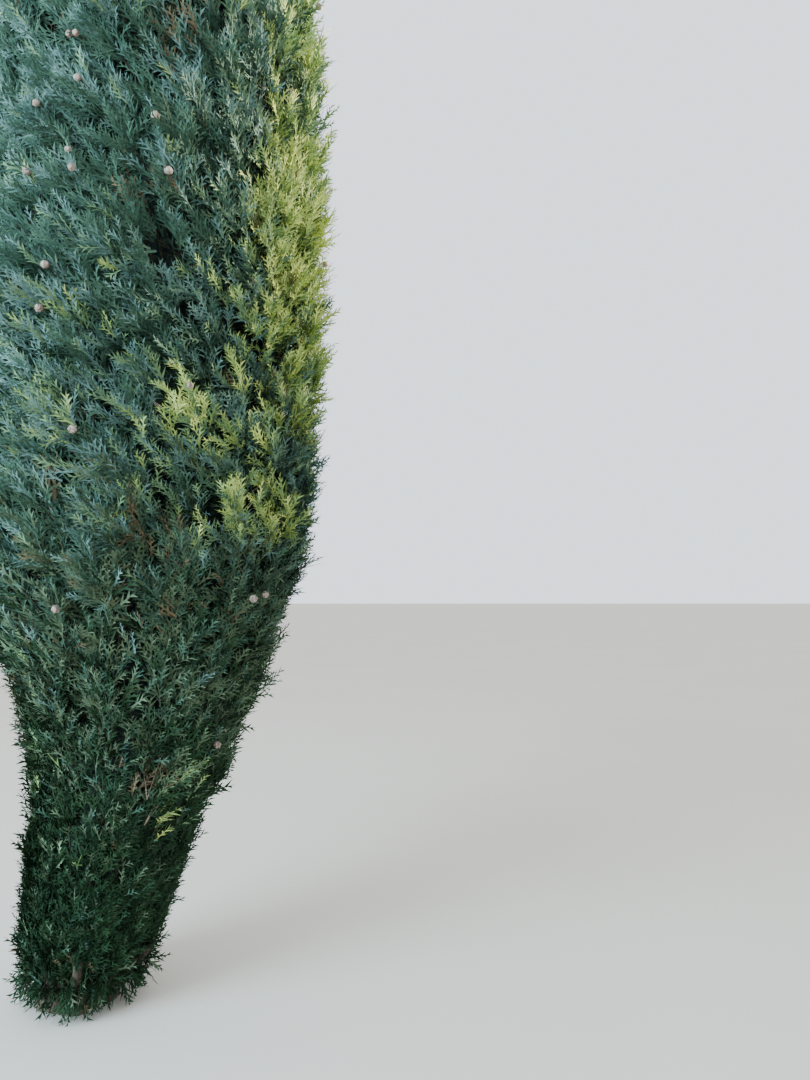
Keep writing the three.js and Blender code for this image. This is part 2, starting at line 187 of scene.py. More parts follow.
# %% [markdown]
# ## Spaces in the crown
#
# The crown is divided into tiers, each split into sectors round the trunk, and every space holds
# one bough and one mass of foliage. The edges between tiers climb outwards and zigzag, so that the
# flames of one tier reach up between those of the next. A record array keeps the spaces, because
# it can be read one by one, or for many branches at once.

# %% Tiers and sectors
# Name, height of the lower edge, number of boughs, branches on each mass
TIERS = [
    ("foot", 0.07, 5, 58),
    ("skirt", 2.0, 5, 74),
    ("lower", 3.85, 5, 58),
    ("middle", 5.7, 5, 33),
    ("upper", 7.5, 5, 23),
    ("shoulder", 9.25, 3, 26),
]
LEADER_EDGE = 0.33
ZIGZAG, WANDER, WANDER_TURN = 0.3, 0.11, 1.7
EDGE_DEPTH, EDGE_RISE = 0.7, 2.1
FIRST_SECTOR, SECTOR_JITTER = 0.1 - np.pi / 2, 0.12

BOUGHS = np.array([tier[2] for tier in TIERS])
FIRST_ANGLE = FIRST_SECTOR + (np.arange(len(TIERS)) % 2) * np.pi / BOUGHS
EDGE_BASE = np.array([tier[1] for tier in TIERS] + [TRUNK_TOP + LEADER_EDGE])
EDGE_WANDER = np.array([0] + [WANDER] * (len(TIERS) - 1) + [0])
EDGE_CLIMB = np.array([0] + [EDGE_RISE] * len(TIERS))
same_below = np.append(BOUGHS[1:] == BOUGHS[:-1], False)
EDGE_ZIGZAG = np.append(0, ZIGZAG * same_below)
EDGE_SECTORS = np.append(BOUGHS, 1)
EDGE_ANGLE = np.append(FIRST_ANGLE, 0)


def edge_height(edge, phi, depth):
    zigzag = -EDGE_ZIGZAG[edge] * np.cos(EDGE_SECTORS[edge] * (phi - EDGE_ANGLE[edge]))
    wander = EDGE_WANDER[edge] * np.sin(2 * phi + edge * WANDER_TURN)
    climb = EDGE_CLIMB[edge] * crown_radius(EDGE_BASE[edge], phi) * (depth - EDGE_DEPTH)
    return EDGE_BASE[edge] + zigzag + wander + climb


def sectors_of(tier):
    count = TIERS[tier][2]
    draw = seeded(SEED + tier * 101)
    step = TAU / count
    angles = [FIRST_ANGLE[tier] + step * k + (draw() - 0.5) * 2 * SECTOR_JITTER for k in range(count)]
    around = [angles[-1] - TAU, *angles, angles[0] + TAU]
    return [(tier, k, p, (around[k] + p) / 2, (p + around[k + 2]) / 2) for k, p in enumerate(angles)]


rows = [row for tier in range(len(TIERS)) for row in sectors_of(tier)]
SPACES = np.rec.fromrecords(rows, names="tier,k,phi,start,end")


def in_space(space, phi, depth, height):
    low = edge_height(space.tier, phi, depth)
    high = edge_height(space.tier + 1, phi, depth)
    return place(phi, depth, low + height * (high - low))


print("spaces:", len(SPACES), "in", len(TIERS), "tiers")

# %% [markdown]
# ## The flame in each space
#
# A mass of cypress foliage is shaped like a flame: rounded below, pointed above, and hollow where
# no light reaches. The flame is a surface in two numbers, the turn round it and the height up it,
# and what grows on it asks for a place, the way up and the way out.

# %% Flame surface
# Spread to the sides, thickness, bluntness of the ends, squareness of the section
CORE = (0.8, 0.22, 0.4, 1.0)
CORE_FROM, CORE_TO, CORE_ENDS = 0.08, 0.97, (0.055, 0.985)
CORE_DEPTH, FLAME_BELLY = (0.46, 0.56), 0.72
UP = np.array([0.0, 0.0, 1.0])


def unit(v):
    return v / np.maximum(np.linalg.norm(v, axis=-1, keepdims=True), 1e-9)


def flame(space, turn, height, form=CORE, swell=1.0):
    spread, thick, blunt, square = form
    share = lerp(*CORE_ENDS, np.clip(height, 0, 1)) ** FLAME_BELLY
    wide = swell * np.sin(np.pi * share) ** blunt
    half = np.where(np.sin(turn) > 0, space.end - space.phi, space.phi - space.start)
    phi = space.phi + half * spread * wide * np.sin(turn)
    forward = np.sign(np.cos(turn)) * np.abs(np.cos(turn)) ** square
    depth = lerp(*CORE_DEPTH, height) + thick * wide * forward
    return in_space(space, phi, depth, lerp(CORE_FROM, CORE_TO, height))


def core_middle(space, height):
    return (flame(space, np.pi / 2, height) + flame(space, -np.pi / 2, height)) / 2


def surface_at(space, turn, height, form):
    step = 0.02
    above, below = (flame(space, turn, height + s, form) for s in (step, -step))
    right, left = (flame(space, turn + s, height, form) for s in (step, -step))
    up = unit(above - below)
    return flame(space, turn, height, form), up, unit(np.cross(right - left, up))


skirt_flame = flame(SPACES[5], 0.0, np.linspace(0, 1, 9))
print("a flame of the skirt is", round(float(np.ptp(skirt_flame[:, 2])), 2), "m tall")

# %% [markdown]
# ## Shader maths as Python expressions
#
# A material is a graph of nodes, but it reads better as a formula. This class wraps one output
# socket and gives it Python's operators, so that `1 - mask` adds the Math node by itself. Colours
# and vectors go through Mix and Vector Math, and any other node through the one method `node`.

# %% Sockets that can be calculated with
class Shade:
    def __init__(self, tree, socket=None):
        self.tree = tree
        self.socket = socket

    def node(self, kind, settings=None, inputs=None, output=0):
        made = self.tree.nodes.new(kind)
        for name, value in (settings or {}).items():
            setattr(made, name, value)
        for key, value in (inputs or {}).items():
            target = find_socket(made.inputs, key)
            if isinstance(value, Shade):
                self.tree.links.new(value.socket, target)
            else:
                target.default_value = value
        return Shade(self.tree, find_socket(made.outputs, output))

    def math(self, operation, *values):
        return self.node("ShaderNodeMath", {"operation": operation}, dict(enumerate(values)))

    def __add__(self, other):
        return self.math("ADD", self, other)

    def __rsub__(self, other):
        return self.math("SUBTRACT", other, self)

    def __mul__(self, other):
        return self.math("MULTIPLY", self, other)

    __radd__ = __add__
    __rmul__ = __mul__

    def stretched(self, x, y, z):
        settings = {"operation": "MULTIPLY"}
        return self.node("ShaderNodeVectorMath", settings, {0: self, 1: (x, y, z)})

    def noise(self, scale, detail=2.0, roughness=0.5):
        values = {"Vector": self, "Scale": scale, "Detail": detail, "Roughness": roughness}
        return self.node("ShaderNodeTexNoise", inputs=values)

    def between(self, low, high):
        values = {"Value": self, "From Min": low, "From Max": high}
        return self.node("ShaderNodeMapRange", {"interpolation_type": "SMOOTHSTEP"}, values)

    def mix(self, first, second):
        values = {"Factor_Float": self, "A_Color": first, "B_Color": second}
        return self.node("ShaderNodeMix", {"data_type": "RGBA"}, values, "Result_Color")


def find_socket(sockets, key):
    if isinstance(key, int):
        return sockets[key]
    return next(s for s in sockets if key in (s.identifier, s.name))


def finish_of(name, roughness, specular, dress):
    material = bpy.data.materials.new(name)
    material.use_nodes = True
    surface = material.node_tree.nodes["Principled BSDF"]
    surface.inputs["Roughness"].default_value = roughness
    surface.inputs["Specular IOR Level"].default_value = specular
    start = Shade(material.node_tree)
    here = start.node("ShaderNodeTexCoord", output="Object")
    for key, value in dress(here).items():
        material.node_tree.links.new(value.socket, surface.inputs[key])
    return material


def linear(rgb):
    channels = [c / 255 for c in rgb]
    return (*[c / 12.92 if c <= 0.04045 else ((c + 0.055) / 1.055) ** 2.4 for c in channels], 1.0)


print("mid grey in linear light:", round(linear((128, 128, 128))[0], 3))

# %% [markdown]
# ## Bark
#
# Cypress bark is thin and fibrous: long shallow strips, grey from the weather and red brown in the
# fissures between. The noise that draws them is squeezed across the limb and stretched along it.
# Relief that can be seen comes from the mesh, and the bump adds only fibres.

# %% Finishes of the wood
def bark_finish(name, roughness, specular, squeeze, weathered, fissure, lichen):
    def dress(here):
        strips = here.stretched(squeeze, squeeze, squeeze / 9).noise(1.0, 5.0, 0.62)
        fibres = here.stretched(squeeze * 5, squeeze * 5, squeeze / 2).noise(1.0, 3.0)
        patches = here.noise(3.5, 3.0).between(0.52, 0.7)
        ridge = (strips * 0.75 + fibres * 0.25).between(0.38, 0.62)
        wood = ridge.mix(linear(fissure), linear(weathered))
        colour = (patches * 0.45).mix(wood, linear(lichen))
        depth = {"Strength": 0.55, "Distance": 0.006, "Height": strips * 0.6 + fibres * 0.4}
        return {"Base Color": colour, "Normal": here.node("ShaderNodeBump", inputs=depth)}

    return finish_of(name, roughness, specular, dress)


TRUNK_FINISH = bark_finish("trunk_bark", 0.92, 0.2, 26.0, (104, 90, 76), (44, 32, 25), (80, 86, 62))
BOUGH_FINISH = bark_finish("bough_bark", 0.88, 0.22, 48.0, (70, 60, 50), (36, 28, 22), (58, 64, 46))
TWIG_FINISH = bark_finish("twig_bark", 0.88, 0.15, 90.0, (54, 48, 38), (30, 26, 21), (46, 54, 40))
BLEACHED = ((168, 156, 140), (108, 92, 78), (150, 148, 120))
BARE_FINISH = bark_finish("bare_grey_twig", 0.9, 0.2, 90.0, *BLEACHED)
print("finishes of the wood:", len(bpy.data.materials))

# %% [markdown]
# ## Greens
#
# Scale leaves are matt. The finishes run from blackish green, painted shade inside the crown and
# at the foot, to blue green in the shade and yellow green that is partly young tips and partly
# painted sunlight, with a few dead brown sprays. Each spray is given one of these finishes, a plain
# base colour that a fine noise breaks into overlapping scales.

# %% Finishes of the foliage
# The blackish inside and foot greens are painted shade; the fresh and sunny greens are partly painted
# sunlight, partly young growth.
GREENS = {
    "painted_shade_inner": ((24, 42, 32), (42, 64, 48)),
    "deep_green": ((43, 67, 54), (71, 99, 80)),
    "blue_green": ((63, 90, 83), (104, 134, 124)),
    "mid_green": ((74, 100, 72), (118, 146, 106)),
    "fresh_and_sunlit_green": ((108, 134, 76), (156, 178, 110)),
    "sunny_tip": ((148, 167, 88), (194, 207, 126)),
    "olive_green": ((56, 72, 54), (88, 106, 80)),
    "rusty_dead": ((78, 70, 52), (118, 106, 80)),
    "painted_shade_foot": ((20, 40, 24), (38, 62, 38)),
}


def leaf_finish(name, deep, light):
    def dress(here):
        tufts = here.noise(11.0, 2.0)
        scales = here.noise(160.0, 1.0)
        share = (tufts * 0.6 + scales * 0.4).between(0.34, 0.66)
        return {"Base Color": share.mix(linear(deep), linear(light))}

    return finish_of(name, 0.75, 0.1, dress)


LEAF_FINISHES = [leaf_finish(name, *shades) for name, shades in GREENS.items()]
INNER_SHADE, DEEP, BLUE, MID, FRESH_AND_SUNLIT, SUNNY, OLIVE, RUSTY, SHADY = range(len(GREENS))
print("finishes of the foliage:", ", ".join(GREENS))

# %% [markdown]
# ## From arrays to meshes
#
# Hundreds of thousands of small faces are too many for one Blender operator each. NumPy works out
# all the corners, and `foreach_set` hands them to the mesh at once. Limbs, twigs and stalks are
# tubes: rings of points, a wall of triangles between them and a fan over each end.

# %% Mesh helpers
PIECES = {}
ASKEW = np.array([0.31, 0.95, 0.05])


def add_object(name, data):
    made = bpy.data.objects.new(name, data)
    bpy.context.scene.collection.objects.link(made)
    return made


def add_piece(name, points, faces, finish, smooth_faces=False):
    mesh = bpy.data.meshes.new(name)
    mesh.vertices.add(len(points))
    mesh.vertices.foreach_set("co", points.astype(np.float32).ravel())
    mesh.loops.add(faces.size)
    mesh.loops.foreach_set("vertex_index", faces.astype(np.int32).ravel())
    mesh.polygons.add(len(faces))
    mesh.polygons.foreach_set("loop_start", np.arange(len(faces), dtype=np.int32) * 3)
    mesh.polygons.foreach_set("use_smooth", np.full(len(faces), smooth_faces))
    mesh.update(calc_edges=True)
    mesh.validate()
    mesh.materials.append(finish)
    PIECES[name] = len(faces)
    print(name, "has", len(faces), "triangles")
    return add_object(name, mesh)


def column(values):
    return np.asarray(values)[:, None]


def wall_faces(rings, sides):
    """Triangles between rings of points that follow one another in an array."""
    start = column(np.arange(rings - 1) * sides)
    a, b = start + np.arange(sides), start + np.roll(np.arange(sides), -1)
    lower, upper = np.stack([a, b, b + sides], -1), np.stack([a, b + sides, a + sides], -1)
    return np.vstack([lower.reshape(-1, 3), upper.reshape(-1, 3)])


def closed_faces(rings, sides):
    ring = np.arange(sides)
    fan = np.stack([np.zeros(sides - 2, int), ring[1:-1], ring[2:]], 1)
    return np.vstack([wall_faces(rings, sides), fan[:, ::-1], fan + (rings - 1) * sides])


def repeated(faces, count, points_each):
    return (faces + (np.arange(count) * points_each)[:, None, None]).reshape(-1, 3)


def spokes_round(ways, sides):
    """Unit vectors square to each way, evenly round it."""
    across = unit(np.cross(ways, ASKEW))
    angle = column(TAU * np.arange(sides) / sides)
    return across[..., None, :] * np.cos(angle) + np.cross(ways, across)[..., None, :] * np.sin(angle)


def tubes(lines, radii, sides):
    """Closed tapering tubes along many lines at once. lines is (n, steps, 3), radii (n, steps)."""
    count, steps = radii.shape
    spokes = spokes_round(unit(np.gradient(lines, axis=1)), sides)
    points = lines[:, :, None] + spokes * radii[:, :, None, None]
    return points.reshape(-1, 3), repeated(closed_faces(steps, sides), count, steps * sides)


print("a tube of three rings and three sides takes", len(closed_faces(3, 3)), "triangles")

# %% [markdown]
# ## The trunk
#
# The trunk rises whole through the foliage. A lathe would give a smooth post, so its rings are
# worked out: five low buttresses spread the flare, and a ridged noise stretched along the trunk
# cuts the fissures. The rings stand closest near the ground, where the trunk can be seen.

# %% Trunk with its bark relief
TRUNK_RINGS, TRUNK_SIDES, RING_SPACING = 160, 72, 1.75
BUTTRESSES, BUTTRESS_SHARE = 5, 0.3
FISSURE_DEPTH, FISSURE_STRETCH, FISSURE_SQUEEZE = 0.0075, 8.0, 42.0


def bark_relief(points, squeeze):
    """Height of the bark from 0 in a fissure to 1 on a strip, at many points on a limb."""
    squeezed = [Vector(point) for point in points * [squeeze, squeeze, squeeze / FISSURE_STRETCH]]
    heights = [abs(noise.noise(at)) + 0.5 * abs(noise.noise(at * 2.3)) for at in squeezed]
    return np.clip(np.array(heights) / 0.55, 0, 1) ** 0.6


def buttress(z, angle):
    return FLARE * BUTTRESS_SHARE * np.exp(-z / FLARE_HEIGHT) * (np.cos(BUTTRESSES * angle) - 1)


def rings_and_sides(rings, sides):
    """Share of the way up and angle round for every corner of a ringed body."""
    return np.meshgrid(np.linspace(0, 1, rings), TAU * np.arange(sides) / sides, indexing="ij")


share, angle = rings_and_sides(TRUNK_RINGS + 1, TRUNK_SIDES)
z = TRUNK_TOP * share**RING_SPACING
radius = trunk_radius(z) + buttress(z, angle)
spokes = towards(angle)
skin = (spokes * radius[..., None] + points_of(0, 0, z)).reshape(-1, 3)
relief = bark_relief(skin, FISSURE_SQUEEZE).reshape(z.shape) - 1
radius = radius + FISSURE_DEPTH * relief * (radius / TRUNK_RADIUS)
trunk_points = (middle(z) + spokes * radius[..., None]).reshape(-1, 3)

ring = np.arange(TRUNK_SIDES)
beside, top = np.roll(ring, -1), TRUNK_RINGS * TRUNK_SIDES
centre = np.full(TRUNK_SIDES, len(trunk_points))
caps = [np.stack([centre, beside, ring], 1), np.stack([centre + 1, top + ring, top + beside], 1)]
trunk_points = np.vstack([trunk_points, middle(np.array([0.0, TRUNK_TOP]))])
trunk_faces = np.vstack([wall_faces(TRUNK_RINGS + 1, TRUNK_SIDES), *caps])
trunk = add_piece("trunk_with_bark", trunk_points, trunk_faces, TRUNK_FINISH, True)

# %% [markdown]
# ## Boughs and stems
#
# Each bough comes out of the bark under its space and goes on as the stem of its flame. On the real
# tree that is one limb, so it is one mesh here: a smooth curve through the source's points, with
# the trunk's relief at a smaller scale.

# %% Boughs that go on as stems
BOUGH_RADIUS, BOUGH_LEAST, BOUGH_TAPER, BOUGH_COLLAR = 0.24, 0.011, 0.62, 1.1
BOUGH_RISE, BOUGH_SLOPE, BOUGH_DEPTH, LOWEST_START = 0.05, 0.9, 0.34, 0.035
STEM_START, STEM_WIDE, STEM_NARROW, STEM_TIP = 0.07, 0.95, 0.85, 0.004
STEM_HEIGHTS = (0.12, 0.4, 0.7, 0.95)
LIMB_SIDES, LIMB_STEPS, LIMB_SQUEEZE, LIMB_RELIEF = 10, 30, 120.0, 0.14
GROUND_CLEARANCE = 0.004


def through(points, values, steps):
    """A smooth curve through a few points in even steps, with values that go with the points."""
    points = np.asarray(points)
    knots = np.append(0, np.cumsum(np.linalg.norm(np.diff(points, axis=0), axis=1)))
    tangent = np.gradient(points, knots, axis=0)
    at = np.linspace(0, knots[-1], steps)
    i = np.clip(np.searchsorted(knots, at, "right") - 1, 0, len(points) - 2)
    span = column(knots[i + 1] - knots[i])
    t = column(at - knots[i]) / span
    bend = t * (1 - t) * span * ((1 - t) * tangent[i] - t * tangent[i + 1])
    straight = points[i] * (1 - t) ** 2 * (1 + 2 * t) + points[i + 1] * t**2 * (3 - 2 * t)
    return straight + bend, np.interp(at, knots, values)


def limb_of(space):
    bark = in_space(space, space.phi, 0.0, BOUGH_RISE)
    tip = in_space(space, space.phi, BOUGH_DEPTH, BOUGH_RISE)
    start = middle(np.maximum(LOWEST_START, bark[2] - BOUGH_SLOPE * bark_at(bark[2])))
    onward = tip + unit(tip - bark) * STEM_START
    line = [start, bark, tip, onward, *[core_middle(space, h) for h in STEM_HEIGHTS]]
    stem = float(trunk_radius(bark[2]) - FLARE * math.exp(-bark[2] / FLARE_HEIGHT))
    base = max(BOUGH_LEAST, BOUGH_RADIUS * stem)
    end = base * BOUGH_TAPER
    narrowing = np.linspace(end * STEM_NARROW, STEM_TIP, len(STEM_HEIGHTS))
    return through(line, [base * BOUGH_COLLAR, base, end, end * STEM_WIDE, *narrowing], LIMB_STEPS)


def above_ground(points):
    points[:, 2] = np.maximum(points[:, 2], GROUND_CLEARANCE)
    return points


limb_lines, limb_radii = (np.array(values) for values in zip(*[limb_of(space) for space in SPACES]))
limb_points, limb_faces = tubes(limb_lines, limb_radii, LIMB_SIDES)
centres = np.repeat(limb_lines.reshape(-1, 3), LIMB_SIDES, axis=0)
rough = LIMB_RELIEF * (bark_relief(limb_points, LIMB_SQUEEZE) - 0.5)
limb_points = above_ground(limb_points + (limb_points - centres) * column(rough))
boughs = add_piece("boughs_and_stems", limb_points, limb_faces, BOUGH_FINISH, True)

# %% [markdown]
# ## Branches by the source's rule
#
# The source sets twigs on each flame with a steady step round it and an even climb up it, which
# spreads them without rows. With more twigs the same rule gives the branches, and the climb is
# slower where the crown is wider, so that the green is equally dense all over. The leading shoot
# and the foot of the trunk carry theirs round them by the golden angle.

# %% Branches
TWIG_STEP, TWIG_CLIMB, TWIG_HEIGHTS = 0.7549, 0.12, (-0.1, 1.0)
FACE = (1.0, 0.2, 0.03, 0.2)
LEADER_SHOOTS, LEADER_HEIGHTS, LEADER_CORE = 44, (TRUNK_TOP + 0.05, HEIGHT - 0.36), 0.42
FOOT_SHOOTS, FOOT_SHOOT_HEIGHTS, FOOT_CROWD = 90, (0.012, 0.42), 1.5
SHOOT_OUT = 0.01
GOLDEN = np.pi * (3 - np.sqrt(5))


def evenly_up(space, shares):
    """Heights in a space at which equal shares of its green lie below."""
    h = np.linspace(*TWIG_HEIGHTS, 40)
    below = np.cumsum(crown_radius(core_middle(space, h)[:, 2], space.phi))
    return np.interp(shares, (below - below[0]) / (below[-1] - below[0]), h)


rows = []
for index, space in enumerate(SPACES):
    draw = seeded(SEED * 3 + index * 977)
    first = draw()
    count = TIERS[space.tier][3]
    sideways = [(first + (i + 1) * TWIG_STEP) % 1 * 2 - 1 for i in range(count)]
    heights = evenly_up(space, [(i + draw()) / count for i in range(count)])
    rows += [(index, math.asin(a), h) for a, h in zip(sideways, heights)]
owner, turn, height = (np.array(values) for values in zip(*rows))
mine = SPACES[owner]
foot, up, out = surface_at(mine, turn, height, FACE)
root = core_middle(mine, np.maximum(CORE_ENDS[0], height - TWIG_CLIMB))


def ring_of_shoots(count, low, high, share_of_crown, crowd=1.0):
    """Shoots that spring from the trunk itself, round it by the golden angle."""
    angle = GOLDEN * np.arange(count)
    z = lerp(low, high, (np.arange(count) / (count - 1)) ** crowd)
    skin = trunk_radius(z) + buttress(z, angle) + SHOOT_OUT
    reach = np.maximum(skin, share_of_crown * crown_radius(z, angle))
    return middle(z) + towards(angle) * column(reach), middle(z), towards(angle)


leader = ring_of_shoots(LEADER_SHOOTS, *LEADER_HEIGHTS, LEADER_CORE)
low_ring = ring_of_shoots(FOOT_SHOOTS, *FOOT_SHOOT_HEIGHTS, 0.0, FOOT_CROWD)
foot, root, out = (np.vstack(three) for three in zip((foot, root, out), leader, low_ring))
print("branches:", len(foot))

# %% [markdown]
# ## Shoots that fill the gaps
#
# Where two flames part, light falls in, and a living tree fills such a gap. The widest gap is the
# place on the crown farthest from every branch, measured against the size of the growth there. A
# shoot is set into it, the distances are brought up to date, and so on until the cover is even.

# %% Fill the widest gaps
FILLERS, CANDIDATES, FILLER_HEIGHTS = 160, 5000, (0.14, 11.0)
FILLER_DEPTH, FILLER_ROOT_DEPTH, FILLER_RISE = 0.66, 0.35, 0.12
GROWTH_SIZES, GROWTH_FROM, GROWTH_OVER = (0.86, 1.36), 3.8, 2.6


def growth_size(z):
    """The size of the growth for each height: it gets coarser where nobody sees it near."""
    return lerp(*GROWTH_SIZES, rising(z, GROWTH_FROM, GROWTH_OVER))


def spread_over_crown(count):
    """Azimuths and heights of points that cover the crown evenly, closer where growth is finer."""
    levels = np.linspace(*FILLER_HEIGHTS, 200)
    area_below = np.cumsum(crown_radius(levels, 0.0) / growth_size(levels) ** 2)
    number = np.arange(count)
    return wrapped(GOLDEN * number), np.interp((number + 0.5) / count, area_below / area_below[-1], levels)


candidate_phi, candidate_z = spread_over_crown(CANDIDATES)
candidates = place(candidate_phi, FILLER_DEPTH, candidate_z)


def distance_to(point):
    return np.linalg.norm(candidates - point, axis=1) / growth_size(candidate_z)


need = np.min([distance_to(point) for point in foot], axis=0)
widest, fillers = need.max(), []
for _ in range(FILLERS):
    fillers.append(int(np.argmax(need)))
    need = np.minimum(need, distance_to(candidates[fillers[-1]]))
filler_phi, filler_z = candidate_phi[fillers], candidate_z[fillers]
foot = np.vstack([foot, candidates[fillers]])
root = np.vstack([root, place(filler_phi, FILLER_ROOT_DEPTH, filler_z - FILLER_RISE)])
out = np.vstack([out, towards(filler_phi)])
up = np.vstack([up, np.tile(UP, (len(foot) - len(up), 1))])
print(f"widest gap between branches: {widest:.2f} m before and {need.max():.2f} m after")

# %% [markdown]
# ## The way the growth is combed
#
# All the growth is combed one way: seen from outside it slants strongly to the left as it climbs,
# as spiral grain does, but near the ground it fans straight up. A branch follows the comb, tilted
# by chance, and is reined in where it would leave the narrow crown's outline.

# %% Directions of the branches
BRANCH_LENGTH, BRANCH_TILT, BRANCH_SWAY, BRANCH_LIFT = 0.17, 0.5, 0.5, 0.1
BRANCH_LIMITS, TIP_ROOM, FACE_OUT = (0.68, 0.85), 0.6, 0.6
LOW_GROWTH, LOW_SIZE = (0.1, 1.2), 0.92
LEADER_GROWTH, LEADER_SIZE = (10.2, 1.6), 0.6
HIGHEST_LIMIT, LEAST_REACH = HEIGHT - 0.25, 0.03
# How far the growth slants to the left for each metre that it climbs, at some heights
SLANT_HEIGHTS = [0.0, 0.4, 1.2, 1.7, 2.3, 3.4, 6.0, 12.0]
SLANTS = [-0.1, -0.32, -0.25, 1.2, 2.5, 1.6, 0.9, 0.4]


def outward_at(points):
    """The way out from the middle line, the distance from it and the azimuth."""
    flat = points - middle(points[:, 2])
    return unit(flat * [1, 1, 0]), np.hypot(flat[:, 0], flat[:, 1]), np.arctan2(flat[:, 1], flat[:, 0])


def combed(points):
    """The way that the growth is combed at some points: up, and to the left seen from outside."""
    left = np.cross(outward_at(points)[0], UP)
    return unit(UP + left * column(np.interp(points[:, 2], SLANT_HEIGHTS, SLANTS)))


def square_to(axis, ways):
    return unit(ways - axis * column((ways * axis).sum(1)))


def reined_in(feet, ways, lengths, limits):
    for _ in range(3):
        tips = feet + ways * column(lengths)
        outward, radius, phi = outward_at(tips)
        z = np.clip(tips[:, 2], 0, HIGHEST_LIMIT)
        allowed = np.maximum(LEAST_REACH, bark_at(z) + limits * (crown_radius(z, phi) - bark_at(z)))
        over = np.clip(radius - allowed, 0, None) / lengths
        ways = unit(ways - outward * column(over))
    return ways


dice = chance("branches")
branches = len(foot)
low_share = rising(foot[:, 2], *LOW_GROWTH)
size = growth_size(foot[:, 2]) * dice.uniform(0.88, 1.12, branches) * lerp(LOW_SIZE, 1.0, low_share)
size = size * lerp(1.0, LEADER_SIZE, rising(foot[:, 2], *LEADER_GROWTH))
tilt = BRANCH_TILT * dice.uniform(0.4, 1.6, branches)
out = square_to(up, unit(lerp(out, outward_at(foot)[0], FACE_OUT)))
side = np.cross(up, out)
sway = BRANCH_SWAY * dice.uniform(-1, 1, branches)
heading = unit(combed(foot) + out * column(np.sin(tilt)) + side * column(np.sin(sway)))
branch_length = np.minimum(BRANCH_LENGTH * size, (HEIGHT - foot[:, 2]) * TIP_ROOM)
branch_limit = dice.uniform(*BRANCH_LIMITS, branches)
heading = reined_in(foot, heading, branch_length, branch_limit)
print(f"branches: {branches}, on average {branch_length.mean():.2f} m long beyond their flame")

# %% [markdown]
# ## Plumes on the branches
#
# A branch carries plumes, shoots a hand long that leave it at a narrow angle on every side but the
# inner one. Each turns on from the last by the golden share of a turn, which keeps neighbours
# apart, and is combed and reined in like its branch.

# %% Plumes
PLUMES_EACH, PLUME_LENGTH, PLUME_ANGLE, PLUME_ARC, PLUME_COMB = 7, (0.18, 0.13), (1.05, 0.35), 1.9, 0.45
LOW_PLUME_LENGTH, LOW_PLUME_ANGLE = 1.4, 0.6
PLUME_BEYOND, PLUME_TOP, PLUME_TOP_ROOM = (-0.03, 0.07), HEIGHT + 0.02, 0.85
GOLDEN_SHARE = 0.618


def turned(ways, aside, angle):
    return ways * column(np.cos(angle)) + aside * column(np.sin(angle))


def golden_turns(owner, number):
    """Turns from -1 to 1, a golden step from one to the next, with a chance start for each owner."""
    start = dice.uniform(0, 1, owner[-1] + 1)
    return (start[owner] + number * GOLDEN_SHARE) % 1 * 2 - 1


def along_branch(i, share):
    step = column(share)
    return foot[i] + column(branch_length[i]) * (step * heading[i] + BRANCH_LIFT * step**2 * UP)


owner_branch, number = np.divmod(np.arange(branches * PLUMES_EACH), PLUMES_EACH)
share = (number + dice.uniform(0.1, 0.9, len(number))) / PLUMES_EACH
spin = PLUME_ARC * golden_turns(owner_branch, number)
stem_way = unit(heading[owner_branch] + 2 * BRANCH_LIFT * column(share) * UP)
away = square_to(stem_way, turned(out[owner_branch], side[owner_branch], spin))
lean = lerp(*PLUME_ANGLE, share) * dice.uniform(0.6, 1.4, len(share))
lean = lean * lerp(LOW_PLUME_ANGLE, 1.0, low_share[owner_branch])
plume_foot = along_branch(owner_branch, share)
plume_way = unit(turned(stem_way, away, lean) + PLUME_COMB * combed(plume_foot))
plume_length = lerp(*PLUME_LENGTH, share) * size[owner_branch] * dice.uniform(0.8, 1.2, len(share))
plume_length = plume_length * lerp(LOW_PLUME_LENGTH, 1.0, low_share[owner_branch])
plume_length = np.minimum(plume_length, (PLUME_TOP - plume_foot[:, 2]) * PLUME_TOP_ROOM)
plume_limit = branch_limit[owner_branch] + dice.uniform(*PLUME_BEYOND, len(share))
plume_way = reined_in(plume_foot, plume_way, plume_length, plume_limit)
print(f"plumes: {len(plume_foot)}, on average {plume_length.mean():.2f} m long")

# %% [markdown]
# ## Plumes that reach into the gaps
#
# Chance leaves small holes between the plumes, and a real shoot stretches into a hole for its
# light. More plumes everywhere would only thicken the crown. So points are spread over it, a tree
# of the plumes' middles gives the distance to the nearest, and the emptiest draw a long plume.

# %% Long plumes into the widest holes
GAP_PLUMES, GAP_CANDIDATES, GAP_DEPTH, GAP_APART = 700, 24000, 0.78, 0.06
REACH_BEHIND, REACH_BEYOND, LONGEST_REACH, REACH_FROM, REACH_LIMIT = 0.16, 0.04, 0.28, 0.35, 0.86


def tree_of(points):
    tree = KDTree(len(points))
    for i, point in enumerate(points):
        tree.insert(point, i)
    tree.balance()
    return tree


def plume_at(share):
    return plume_foot + share * column(plume_length) * plume_way


